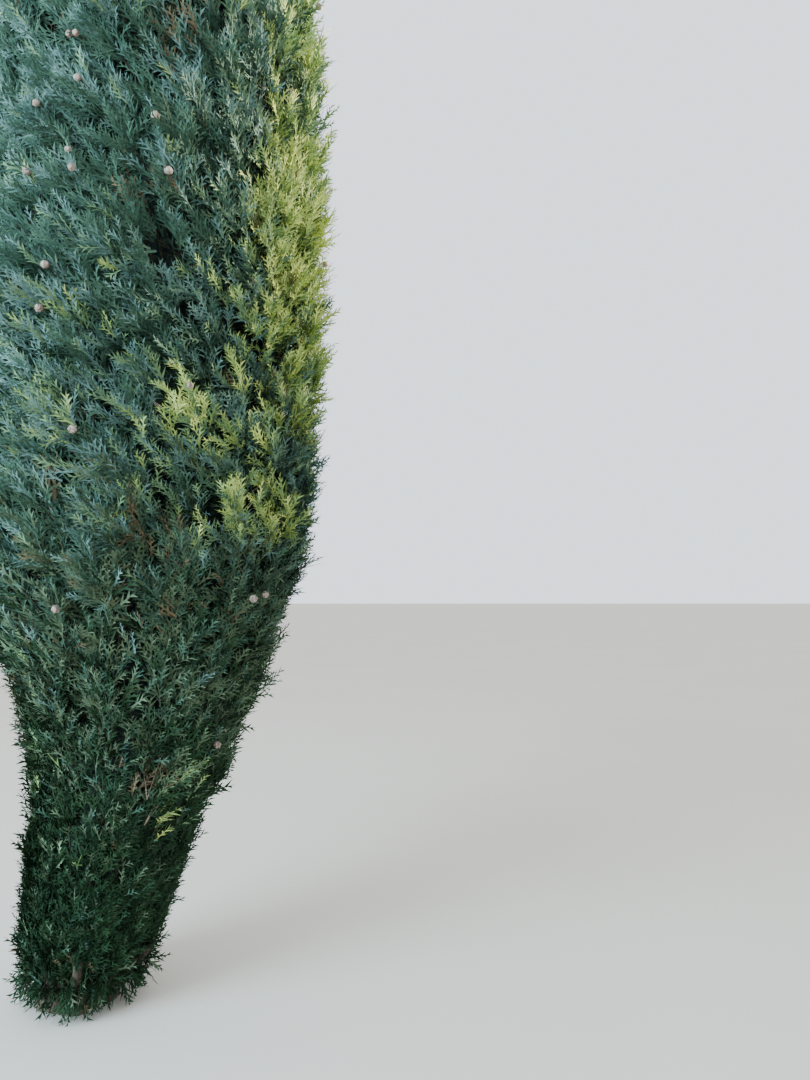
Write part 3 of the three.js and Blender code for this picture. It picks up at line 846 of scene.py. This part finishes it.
gap_phi, gap_z = spread_over_crown(GAP_CANDIDATES)
gaps = place(gap_phi, GAP_DEPTH, gap_z)
cover = tree_of(plume_at(0.6))
width = np.array([cover.find(point)[2] for point in gaps]) / growth_size(gap_z)
chosen = []
for i in np.argsort(-width):
    if len(chosen) < GAP_PLUMES:
        apart = np.linalg.norm(gaps[chosen] - gaps[i], axis=1).min(initial=1.0)
        if apart > GAP_APART * growth_size(gap_z[i]):
            chosen.append(i)
starts = along_branch(np.arange(branches), np.full(branches, REACH_FROM))
nearest_start = tree_of(starts)
behind = gaps[chosen] - combed(gaps[chosen]) * column(REACH_BEHIND * growth_size(gap_z[chosen]))
gap_owner = np.array([nearest_start.find(point)[1] for point in behind])
reach_way = gaps[chosen] - starts[gap_owner]
reach_length = np.minimum(np.linalg.norm(reach_way, axis=1) + REACH_BEYOND, LONGEST_REACH)
reach_way = reined_in(starts[gap_owner], unit(reach_way), reach_length, REACH_LIMIT)
owner_branch = np.append(owner_branch, gap_owner)
plume_foot = np.vstack([plume_foot, starts[gap_owner]])
plume_way = np.vstack([plume_way, reach_way])
plume_length = np.append(plume_length, reach_length)
plume_size = size[owner_branch]
print(f"plumes into gaps: {len(chosen)}, gaps from {width.max():.2f} m to {width[chosen[-1]]:.2f} m wide")

# %% [markdown]
# ## Sprays
#
# A plume is clothed in sprays, flat branchlets a finger long, and six triangles make one: a long
# strand and five short barbs. Each turns its flat face roughly outwards, and a chance roll makes it
# catch the light differently. Just above the ground many hang down like the hem of a skirt.

# %% Shape of every spray
SPRAYS_EACH, SPRAY_LENGTH, SPRAY_ANGLE = 12, (0.115, 0.09), (0.9, 0.22)
SPRAY_ARC, SPRAY_ROLL, SPRAY_COMB = 2.3, 1.0, 0.2
PLUME_LIFT, PLUME_BARE, CROWN_SHARE = 0.06, 0.05, 0.75
HEM_TOP, HEM_SHARE, HEM_OUT, HEM_DROOP, HEM_CHANCE = 0.15, 0.6, 0.9, (0.1, 1.2), 0.3

dice = chance("sprays")
plumes = len(plume_foot)
owner_plume, number = np.divmod(np.arange(plumes * SPRAYS_EACH), SPRAYS_EACH)
sprays = len(number)
up_plume = PLUME_BARE + (1 - PLUME_BARE) * (number + dice.uniform(0, 1, sprays)) / SPRAYS_EACH
way = plume_way[owner_plume]
shaft = unit(way + 2 * PLUME_LIFT * column(up_plume) * UP)
spray_root = plume_foot[owner_plume] + column(plume_length[owner_plume]) * (
    column(up_plume) * way + PLUME_LIFT * column(up_plume**2) * UP
)
outward = lerp(out[owner_branch][owner_plume], outward_at(spray_root)[0], CROWN_SHARE)
outward = square_to(shaft, outward)
sideways = np.cross(shaft, outward)
spin = SPRAY_ARC * golden_turns(owner_plume, number)
lean = lerp(*SPRAY_ANGLE, up_plume) * dice.uniform(0.5, 1.5, sprays)
spray_way = turned(shaft, turned(outward, sideways, spin), lean)
spray_way = unit(spray_way + SPRAY_COMB * combed(spray_root))
hem = (spray_root[:, 2] < HEM_TOP) & (dice.uniform(size=sprays) < HEM_SHARE)
droop = outward_at(spray_root)[0] * HEM_OUT - UP * dice.uniform(*HEM_DROOP, (sprays, 1))
spray_way[hem] = unit(droop + HEM_CHANCE * dice.normal(size=droop.shape))[hem]
spray_length = lerp(*SPRAY_LENGTH, up_plume) * plume_size[owner_plume]
spray_length = spray_length * dice.uniform(0.7, 1.25, sprays)
roll = SPRAY_ROLL * dice.uniform(-1, 1, sprays)
across = unit(np.cross(spray_way, turned(outward, sideways, roll)))
spray_tip = spray_root + column(spray_length) * spray_way
spray_middle = spray_root + 0.5 * column(spray_length) * spray_way
print(f"sprays: {sprays}, on average {spray_length.mean():.3f} m long")

# %% [markdown]
# ## Light and dark places
#
# The side towards the sun gets yellow green above the skirt, painted sunlight, while the foot and
# the heights are painted darker as painted shade, and whole branches and plumes differ by chance. A
# picture laid over the crown would show its lit tufts and dark pockets from one side only, so a list
# of places adds painted light and painted shade to the sum instead.

# %% How light each plume is
# Painted sunlight on plumes above the skirt that face the sun, and painted shade on all the rest.
SUNWARD = unit(np.array([0.98, -0.03, 0.2]))
SUN_GAIN, SUN_RISE, SHADE = 1.6, (0.65, 0.27), -0.3
SUNLIT_RISE, PALER_RISE, PALER_SHARE = (1.9, 0.9), (4.0, 2.0), 0.4
LOW_SHADE, LOW_RISE = 1.15, (0.4, 1.7)
HIGH_SHADE, HIGH_RISE = 0.45, (2.6, 1.0)
BRANCH_CHANCE, PLUME_CHANCE = 0.32, 0.34
# Height and azimuth of a place on the crown, its radius in metres, and how much it adds: painted
# light on a lit tuft where it is positive, painted shade in a dark pocket where it is negative
LIT_AND_SHADED_PLACES = [
    (2.28, -1.02, 0.08, 1.3), (2.23, -1.1, 0.06, 1.2), (2.34, -0.77, 0.08, 1.4),
    (2.13, -0.85, 0.08, 1.5), (2.1, -1.06, 0.06, 1.2), (1.86, -0.86, 0.09, 1.6),
    (1.92, -0.77, 0.08, 1.4), (1.91, -0.63, 0.1, 1.6), (1.88, -0.46, 0.1, 1.6),
    (1.86, -0.3, 0.08, 1.3), (2.03, -1.19, 0.06, 1.0), (1.92, -1.17, 0.07, 1.1),
    (3.32, -1.17, 0.08, 1.1), (3.36, -0.94, 0.07, 0.6), (1.1, -2.2, 0.35, 0.6),
    (0.75, -2.1, 0.25, 0.5), (2.66, -0.87, 0.08, 0.8), (0.72, -0.6, 0.1, 1.1),
    (0.84, -0.6, 0.1, 1.3), (0.96, -0.53, 0.1, 1.3), (0.3, -1.5, 0.05, 1.2),
    (0.62, -1.5, 0.04, 1.0), (0.5, -1.05, 0.05, 1.0), (3.14, -1.37, 0.1, -0.5),
    (3.35, -1.3, 0.12, -0.5), (2.9, -1.24, 0.09, -0.6), (2.03, -1.08, 0.05, -0.7),
    (2.31, -0.65, 0.06, -0.7), (1.76, -1.2, 0.07, -0.6), (1.63, -1.1, 0.08, -0.5),
    (2.43, -1.0, 0.06, -0.6), (2.5, -1.24, 0.06, -0.5), (1.46, -0.6, 0.2, -0.5),
    (1.4, -1.35, 0.3, -0.8), (0.75, -1.22, 0.14, -0.5), (2.82, -1.75, 0.1, -0.5),
]


def nearness(points, height, azimuth, radius):
    _, reach, phi = outward_at(points)
    aside = reach * wrapped(phi - azimuth)
    return np.exp(-(aside**2 + (points[:, 2] - height) ** 2) / radius**2)


dice = chance("greens")
plume_middle = plume_at(0.6)
plume_z = plume_middle[:, 2]
sunlit = rising(plume_z, *SUNLIT_RISE) * lerp(1, PALER_SHARE, rising(plume_z, *PALER_RISE))
painted_sun_and_shade = SUN_GAIN * sunlit * rising(outward_at(plume_middle)[0] @ SUNWARD, *SUN_RISE) + SHADE
# Painted shade: darker towards the foot and towards the heights.
painted_sun_and_shade = painted_sun_and_shade - LOW_SHADE * (1 - rising(plume_z, *LOW_RISE)) - HIGH_SHADE * rising(plume_z, *HIGH_RISE)
# The sum of painted light and shade, with chance for each branch and each plume.
vigour = painted_sun_and_shade + BRANCH_CHANCE * dice.normal(size=branches)[owner_branch]
vigour = vigour + PLUME_CHANCE * dice.normal(size=plumes)
# Painted light on lit tufts and painted shade in dark pockets, place by place.
for *where, gain in LIT_AND_SHADED_PLACES:
    vigour = vigour + gain * nearness(plume_at(0.9), *where)
print(f"vigour of the plumes: from {vigour.min():.1f} to {vigour.max():.1f}")

# %% [markdown]
# ## Which green each spray has
#
# A spray adds its own to its plume's sum: tips are lighter as young growth, sprays that stand
# proud are painted lighter and those set back painted darker. Steps in the sum give the green.
# Deep in the crown and low down the darker finishes are painted shade, low down olive is painted
# light that is warmer and less sky blue, and in dead patches the rusty finish takes over. A few
# sprays that would stand too far out are left off.

# %% Dealing out the greens
TIP_GAIN, SPRAY_CHANCE, PROUD_GAIN, PROUD_AT, PROUD_MOST = 0.7, 0.3, 2.0, 0.84, 0.15
STEPS = {BLUE: -0.05, MID: 0.55, FRESH_AND_SUNLIT: 1.05, SUNNY: 1.55}
INNER_SHARE, INNER_FROM, INNER_OVER = 0.9, 0.78, 0.12
SHADY_SHARE, SHADY_RISE = 0.92, (0.4, 1.5)
OLIVE_SHARE, OLIVE_RISE = 0.75, (1.1, 1.3)
DULL, DEAD_PLUMES, DEAD_SHARE = 0.003, 0.006, 0.5
DARK_GAP = (2.76, -1.18, 0.072)
MOST_PROUD = 0.97
# Height, azimuth and radius of a brown patch, and the share of its sprays that are dead
DULL_PLACES = [
    (1.65, -1.1, 0.24, 0.05), (0.9, -1.03, 0.06, 0.6), (1.82, -1.24, 0.035, 0.8),
    (2.95, -1.28, 0.07, 0.3), (3.5, -1.1, 0.1, 0.25),
]


def depth_at(points):
    """0 at the bark and 1 at the crown's outline."""
    _, reach, phi = outward_at(points)
    bark = bark_at(points[:, 2])
    return (reach - bark) / np.maximum(LEAST_REACH, crown_radius(points[:, 2], phi) - bark)


value = vigour[owner_plume] + TIP_GAIN * up_plume + SPRAY_CHANCE * dice.normal(size=sprays)
spray_depth = depth_at(spray_middle)
z = spray_middle[:, 2]
# Painted light on sprays that stand proud, painted shade on those set back in the crown.
value = value + PROUD_GAIN * np.clip(spray_depth - PROUD_AT, -PROUD_MOST, PROUD_MOST)
tint = np.full(sprays, DEEP)
for green, least in STEPS.items():
    tint[value > least] = green
# Painted light: low down olive replaces the blue greens, warmer and less sky blue.
olive_share = OLIVE_SHARE * (1 - rising(z, *OLIVE_RISE))
tint[(tint <= BLUE) & (dice.uniform(size=sprays) < olive_share)] = OLIVE
roll = dice.uniform(size=sprays)
# Painted shade: sprays deep in the crown get the blackish inner green.
tint[roll < INNER_SHARE * smooth((INNER_FROM - spray_depth) / INNER_OVER)] = INNER_SHADE
# Painted shade: low down the darker and olive greens give way to the blackish foot green.
shady = roll < SHADY_SHARE * (1 - rising(z, *SHADY_RISE))
tint[shady & ((tint <= BLUE) | (tint == OLIVE))] = SHADY
dullness = DULL + DEAD_SHARE * (dice.uniform(size=plumes) < DEAD_PLUMES)[owner_plume]
for *where, share in DULL_PLACES:
    dullness = dullness + share * nearness(spray_root, *where)
tint[dice.uniform(size=sprays) < dullness] = RUSTY
tint[nearness(spray_middle, *DARK_GAP) > 0.4] = -1
too_proud = (depth_at(spray_tip) > MOST_PROUD) & (np.abs(spray_tip[:, 2] - WIDEST_AT) < 1)
tint[too_proud] = -1
print("sprays left out as they stand too far out:", int(too_proud.sum()))
print({name: int((tint == i).sum()) for i, name in enumerate(GREENS)})

# %% [markdown]
# ## Building the sprays
#
# Each kind of green becomes its own joined mesh, split where it would pass two hundred thousand
# triangles. The corners are worked out in one go: three for the strand, and three for each barb,
# which points forward and slightly out of the spray's plane.

# %% Sprays as meshes
MOST_TRIANGLES = 190_000
STRAND_WIDTH = 0.09
BARB_PLACES = column([0.08, 0.22, 0.36, 0.5, 0.64])
BARB_SIDES = column([1, -1, 1, -1, 1])
BARB_TWISTS = column([0.22, 0.22, -0.22, 0.22, -0.22])
BARB_LENGTHS = column([0.44, 0.45, 0.41, 0.36, 0.3])
BARB_BASE, BARB_ANGLE, BARB_CHANCE = 0.15, 0.5, (0.55, 1.25)


def spray_triangles(chosen):
    base, way, wide = (values[chosen][:, None] for values in (spray_root, spray_way, across))
    half = STRAND_WIDTH / 2
    strand = np.stack([wide * half, -wide * half, way], 2)
    lengths = BARB_LENGTHS * dice.uniform(*BARB_CHANCE, (len(chosen), len(BARB_PLACES), 1))
    aslant = wide * math.sin(BARB_ANGLE) * BARB_SIDES + np.cross(way, wide) * BARB_TWISTS
    low, high = way * BARB_PLACES, way * (BARB_PLACES + BARB_BASE)
    barbs = np.stack([low, high, low + lengths * (way * math.cos(BARB_ANGLE) + aslant)], 2)
    corners = np.concatenate([strand, barbs], 1) * spray_length[chosen][:, None, None, None]
    return above_ground((base[:, :, None] + corners).reshape(-1, 3))


spray_pieces = []
dice = chance("barbs")
per_piece = MOST_TRIANGLES // (1 + len(BARB_PLACES))
for i, name in enumerate(GREENS):
    chosen = np.flatnonzero(tint == i)
    parts = np.array_split(chosen, max(1, math.ceil(len(chosen) / per_piece)))
    for k, part in enumerate(parts):
        points = spray_triangles(part)
        faces = np.arange(len(points)).reshape(-1, 3)
        spray_pieces.append(add_piece(f"sprays_{name}_{k + 1}", points, faces, LEAF_FINISHES[i]))
print("spray pieces:", len(spray_pieces), "after", round(time.time() - STARTED, 1), "s")

# %% [markdown]
# ## Twigs
#
# Between stem and sprays there is wood: the branch, and the thin shaft in each plume. It shows only
# in glimpses, so three sides are enough, and a shaft is a single spike.

# %% Twigs as meshes
BRANCH_RADII = np.array([0.008, 0.0065, 0.005, 0.0035, 0.0015])
SHAFT_RADIUS, SHAFT_SHARE, ROOT_TO_FOOT = 0.0022, 0.9, 0.55


def spikes(feet, ways, lengths, widths):
    """Thin three-sided spikes, closed at the foot and pointed at the tip."""
    base = feet[:, None] + spokes_round(ways, 3) * widths[:, None, None]
    tips = (feet + ways * column(lengths))[:, None]
    one = np.array([[0, 2, 1], [0, 1, 3], [1, 2, 3], [2, 0, 3]])
    return np.concatenate([base, tips], 1).reshape(-1, 3), repeated(one, len(feet), 4)


outer = [along_branch(np.arange(branches), np.full(branches, share)) for share in (0, 0.5, 1)]
branch_lines = np.stack([root, root * (1 - ROOT_TO_FOOT) + foot * ROOT_TO_FOOT, *outer], 1)
branch_points, branch_faces = tubes(branch_lines, column(size) * BRANCH_RADII, 3)
shaft_way = unit(plume_way + PLUME_LIFT * UP)
lengths, widths = plume_length * SHAFT_SHARE, plume_size * SHAFT_RADIUS
shaft_points, shaft_faces = spikes(plume_foot, shaft_way, lengths, widths)
twig_points = above_ground(np.vstack([branch_points, shaft_points]))
twig_faces = np.vstack([branch_faces, shaft_faces + len(branch_points)])
twigs = add_piece("twigs", twig_points, twig_faces, TWIG_FINISH)

# %% [markdown]
# ## The dark inside
#
# Behind the green the crown holds old brown foliage, packed so tight that no sky shows through.
# Every dead needle would cost as much as the outside, so each flame has a rough inner body well
# behind the sprays, and one more stands round the trunk. Their finish is a blackish blue green,
# painted shade for the dark gaps, rather than the brown of the foliage.

# %% Inner bodies
INNER_FORM = (0.86, 0.13, 0.1, 0.5)
INNER_RINGS, INNER_SIDES, INNER_ENDS = 18, 16, (0.02, 0.98)
COLUMN_SHARE, COLUMN_RINGS, COLUMN_HEIGHTS = 0.66, 60, (0.35, 11.1)


def inner_dress(here):
    clumps = here.noise(34.0, 4.0, 0.65)
    # Blackish blue green: painted shade for the gaps between the sprays.
    colour = clumps.between(0.4, 0.66).mix(linear((18, 28, 25)), linear((42, 54, 46)))
    depth = {"Strength": 1.0, "Distance": 0.03, "Height": clumps}
    return {"Base Color": colour, "Normal": here.node("ShaderNodeBump", inputs=depth)}


INNER_FINISH = finish_of("dead_inside_painted_shade", 0.95, 0.08, inner_dress)


def inner_body(space):
    h, t = rings_and_sides(INNER_RINGS, INNER_SIDES)
    ends = column(np.sin(np.pi * np.linspace(*INNER_ENDS, INNER_RINGS))) ** 0.3
    ripple = 1 + 0.12 * np.sin(5 * t + 17 * h) * np.cos(3 * t - 11 * h)
    return flame(space, t, h, INNER_FORM, ends * ripple).reshape(-1, 3)


def inner_column():
    h, t = rings_and_sides(COLUMN_RINGS, INNER_SIDES)
    z = lerp(*COLUMN_HEIGHTS, h)
    ripple = 1 + 0.08 * np.sin(4 * t + 9 * z) * np.cos(3 * t - 5 * z)
    r = np.maximum(0.01, COLUMN_SHARE * crown_radius(z, t) * ripple * smooth((1.02 - h) * 12))
    return (middle(z) + towards(t, r)).reshape(-1, 3)


bodies = np.vstack([inner_body(space) for space in SPACES])
body_faces = repeated(closed_faces(INNER_RINGS, INNER_SIDES), len(SPACES), INNER_RINGS * INNER_SIDES)
inner_faces = np.vstack([body_faces, closed_faces(COLUMN_RINGS, INNER_SIDES) + len(bodies)])
inner_points = np.vstack([bodies, inner_column()])
inner = add_piece("dead_inside_painted_shade", inner_points, inner_faces, INNER_FINISH, True)

# %% [markdown]
# ## Cones
#
# The cones are woody globes as big as a walnut, pale when old, with about twelve scales that meet
# in grooves and carry a small boss each. An icosphere's twelve first corners are evenly spread, so
# each becomes the middle of a scale, and grooves run where two are equally near. Some cones stand
# at chosen places, the rest in chance clusters, each on a stalk at the nearest spray.

# %% Cones on the outer sprays
CONE_SIZE, CONE_DEPTH, CONE_PROUD, CONE_LIFT = (0.022, 0.028), 0.89, 0.01, 0.004
STALK_RADIUS = 0.0022
GROOVE_DEPTH, GROOVE_WIDTH, BOSS, CONE_TALLER, CONE_FINENESS = 0.16, 0.14, 0.12, 1.08, 3
# Height and azimuth of each chosen cone
CHOSEN_CONES = [
    (3.51, -1.66), (3.45, -1.60), (3.28, -1.58), (3.23, -1.77), (3.23, -1.26), (3.11, -1.64),
    (3.02, -1.83), (2.97, -1.58), (2.96, -1.61), (3.00, -1.13), (2.67, -1.70), (2.50, -1.70),
    (2.10, -1.52), (1.53, -1.64), (1.01, -0.42), (1.57, -0.60), (1.54, -0.49), (2.33, -0.98),
]
CLUSTERS, CLUSTER_HEIGHTS, CLUSTER_AZIMUTHS, CLUSTER_SPREAD = 32, (1.6, 10.6), (-0.3, 4.3), (0.05, 0.1)
OLD_CONE = ((176, 160, 148), (108, 90, 78), (156, 146, 126))


def one_cone():
    mesh = bmesh.new()
    bmesh.ops.create_icosphere(mesh, subdivisions=CONE_FINENESS, radius=1.0)
    points = unit(np.array([vertex.co[:] for vertex in mesh.verts]))
    faces = np.array([[vertex.index for vertex in face.verts] for face in mesh.faces])
    mesh.free()
    nearest = np.sort(points @ points[:12].T, axis=1)
    gap = nearest[:, -1] - nearest[:, -2]
    radius = 1 - GROOVE_DEPTH * (1 - smooth(gap / GROOVE_WIDTH))
    radius = radius + BOSS * (nearest[:, -1] > 0.999)
    return points * column(radius) * [1, 1, CONE_TALLER], faces


dice = chance("cones")
wanted = list(CHOSEN_CONES)
for _ in range(CLUSTERS):
    cluster = dice.uniform(*CLUSTER_HEIGHTS), dice.uniform(*CLUSTER_AZIMUTHS)
    for _ in range(dice.integers(1, 4)):
        wanted.append([at + spread * dice.uniform(-1, 1) for at, spread in zip(cluster, CLUSTER_SPREAD)])
heights, azimuths = np.array(wanted).T
wanted = place(azimuths, CONE_DEPTH, heights)
outer = (spray_depth > CONE_DEPTH - 0.1) & (spray_depth < CONE_DEPTH + CONE_PROUD)
outer = np.flatnonzero(outer & (tint >= 0))
nearest = np.array([outer[np.argmin(((spray_middle[outer] - at) ** 2).sum(1))] for at in wanted])
places = spray_middle[nearest] + outward_at(spray_middle[nearest])[0] * CONE_LIFT
cone_points, cone_faces = one_cone()
turns = [np.array(Euler(dice.uniform(0, 2 * math.pi, 3)).to_matrix()) for _ in places]
halves = dice.uniform(*CONE_SIZE, len(places)) / 2
many = [at + (cone_points * half) @ turn for at, half, turn in zip(places, halves, turns)]
faces = repeated(cone_faces, len(places), len(cone_points))
CONE_FINISH = bark_finish("cone_wood", 0.8, 0.25, 130.0, *OLD_CONE)
cones = add_piece("cones", np.vstack(many), faces, CONE_FINISH, True)
stalk_lines = np.stack([lerp(spray_root[nearest], places, share) for share in (0, 0.5, 1)], 1)
stalk_points, stalk_faces = tubes(stalk_lines, np.full((len(places), 3), STALK_RADIUS), 3)
cone_stalks = add_piece("cone_stalks", stalk_points, stalk_faces, TWIG_FINISH)
print("cones:", len(places))

# %% [markdown]
# ## Bare twigs
#
# Here and there a shoot has died back and bleached to pale grey. Each is a fan of two or three thin
# tubes that start a little inside the foliage and stick out of it.

# %% Bleached dead twigs
# Height and azimuth of the foot, length in metres, slant to the left
CHOSEN_BARE = [
    (1.96, -0.6, 0.17, -1.3), (1.9, -0.62, 0.13, -0.9), (0.84, -0.98, 0.24, -0.2),
    (0.74, -0.95, 0.16, -0.5), (2.2, -1.12, 0.1, 1.6),
]
BARE_OTHERS, BARE_HEIGHTS, BARE_AZIMUTHS, BARE_LENGTHS = 22, (0.5, 10.0), (0.2, 3.9), (0.08, 0.2)
BARE_STEPS, BARE_RADIUS, BARE_TIP, BARE_DEPTH, BARE_BEND = 7, 0.0021, 0.35, 0.74, 0.12


def bare_twigs():
    dice = chance("bare twigs")
    ranges = (BARE_HEIGHTS, BARE_AZIMUTHS, BARE_LENGTHS)
    others = [(*[dice.uniform(*each) for each in ranges], dice.normal()) for _ in range(BARE_OTHERS)]
    lines = []
    for z, phi, length, slant in CHOSEN_BARE + others:
        for _ in range(dice.integers(2, 4)):
            outward = towards(phi)
            left = np.cross(outward, UP)
            way = unit(UP + left * (slant + 0.3 * dice.normal()) + outward * dice.uniform(0.1, 0.35))
            t = column(np.linspace(0, 1, BARE_STEPS))
            bend = unit(dice.normal(size=3)) * BARE_BEND
            reach = length * dice.uniform(0.6, 1.0) * (way * t + bend * t * (1 - t))
            lines.append(place(phi, BARE_DEPTH, z) + reach)
    widths = BARE_RADIUS * np.linspace(1.0, BARE_TIP, BARE_STEPS)
    return tubes(np.array(lines), np.tile(widths, (len(lines), 1)), 4)


bare = add_piece("bare_twigs", *bare_twigs(), BARE_FINISH)

# %% [markdown]
# ## Riding on the frame
#
# Nothing on a rooted tree moves as a body, so every piece rides on the root. Trunk and boughs
# replace their plain solids, and the foliage replaces the masses, which stay in the physics model.

# %% Replace the solids
masses = [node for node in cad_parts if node.startswith("foliage_")]
bough_nodes = [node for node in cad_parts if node.startswith("bough_")]
for piece in (trunk, boughs, twigs, bare, cones, cone_stalks, inner, *spray_pieces):
    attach(piece, "root")
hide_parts("trunk")
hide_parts(*bough_nodes)
for piece in (inner, *spray_pieces):
    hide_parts(*masses)
print("replaced:", 1 + len(bough_nodes) + len(masses), "nodes")

# %% [markdown]
# ## Stage and light
#
# The tree stands on a plain pale floor. A low warm light from the right and behind catches the
# right edge above head height, and a large cool light and a pale sky fill the shaded side.

# %% Floor and lights
FLOOR_HALF = 90.0


def floor_dress(here):
    return {"Base Color": here.noise(0.6, 2.0).mix(linear((198, 192, 178)), linear((206, 200, 186)))}


def add_light(name, kind, location, target, **settings):
    light = bpy.data.lights.new(name, kind)
    for key, value in settings.items():
        setattr(light, key, value)
    lamp = add_object(name, light)
    lamp.location = location
    lamp.rotation_euler = (lamp.location - Vector(target)).to_track_quat("Z", "Y").to_euler()


floor_mesh = bpy.data.meshes.new("floor")
corners = [(x * FLOOR_HALF, y * FLOOR_HALF, 0) for x, y in ((-1, -1), (1, -1), (1, 1), (-1, 1))]
floor_mesh.from_pydata(corners, [], [(0, 1, 2, 3)])
floor_mesh.materials.append(finish_of("pale_floor", 0.9, 0.2, floor_dress))
floor = add_object("floor", floor_mesh)
floor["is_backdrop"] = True

add_light(
    "low_sun", "SPOT", (16.1, 8.1, 12.1), (0.2, 0.0, 10.0), energy=180_000, color=(1.0, 0.88, 0.66),
    shadow_soft_size=1.2, spot_size=math.radians(44), spot_blend=0.25,
)
add_light(
    "cool_fill", "AREA", (-5.5, -6.0, 4.2), (0.1, 0.0, 2.6), energy=2650, color=(0.56, 0.78, 1.0),
    shape="RECTANGLE", size=5.0, size_y=7.0,
)
world = bpy.data.worlds.new("studio")
world.use_nodes = True
sky = world.node_tree.nodes["Background"]
sky.inputs["Color"].default_value = (0.85, 0.92, 1.0, 1.0)
sky.inputs["Strength"].default_value = 1.9
bpy.context.scene.world = world

# %% [markdown]
# ## Camera
#
# The camera stands at eye height a few steps away and looks slightly up, so it sees only the lowest
# third of the tree. Its lens is worked out from the focal length in pixels.

# %% Camera
EYE_HEIGHT, DISTANCE, OFFSET = 1.6, 3.3, 1.29
PITCH_UP = math.radians(3.5)
FOCAL_PIXELS, LONG_SIDE_PIXELS, SENSOR = 811.0, 1080.0, 36.0
lens = bpy.data.cameras.new("camera")
lens.sensor_width = SENSOR
lens.lens = SENSOR * FOCAL_PIXELS / LONG_SIDE_PIXELS
camera = add_object("camera", lens)
camera.location = (OFFSET, -DISTANCE, EYE_HEIGHT)
camera.rotation_euler = (math.pi / 2 + PITCH_UP, 0, 0)
bpy.context.scene.camera = camera
print("lens:", round(lens.lens, 2), "mm")

# %% [markdown]
# ## Sizes
#
# The solids set the size, and the printed sizes say how far the dressed tree stands past them.

# %% Write the sizes and finish
dressed = [list(corner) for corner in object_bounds()]
for axis, label in enumerate("xyz"):
    under, over = CAD_BOX[0][axis] - dressed[0][axis], dressed[1][axis] - CAD_BOX[1][axis]
    print(f"{label}: {under * 1000:.0f} mm past the low side, {over * 1000:.0f} mm past the high side")
print("triangles:", sum(PIECES.values()), "largest piece", max(PIECES.values()))
print("seconds:", round(time.time() - STARTED, 1))
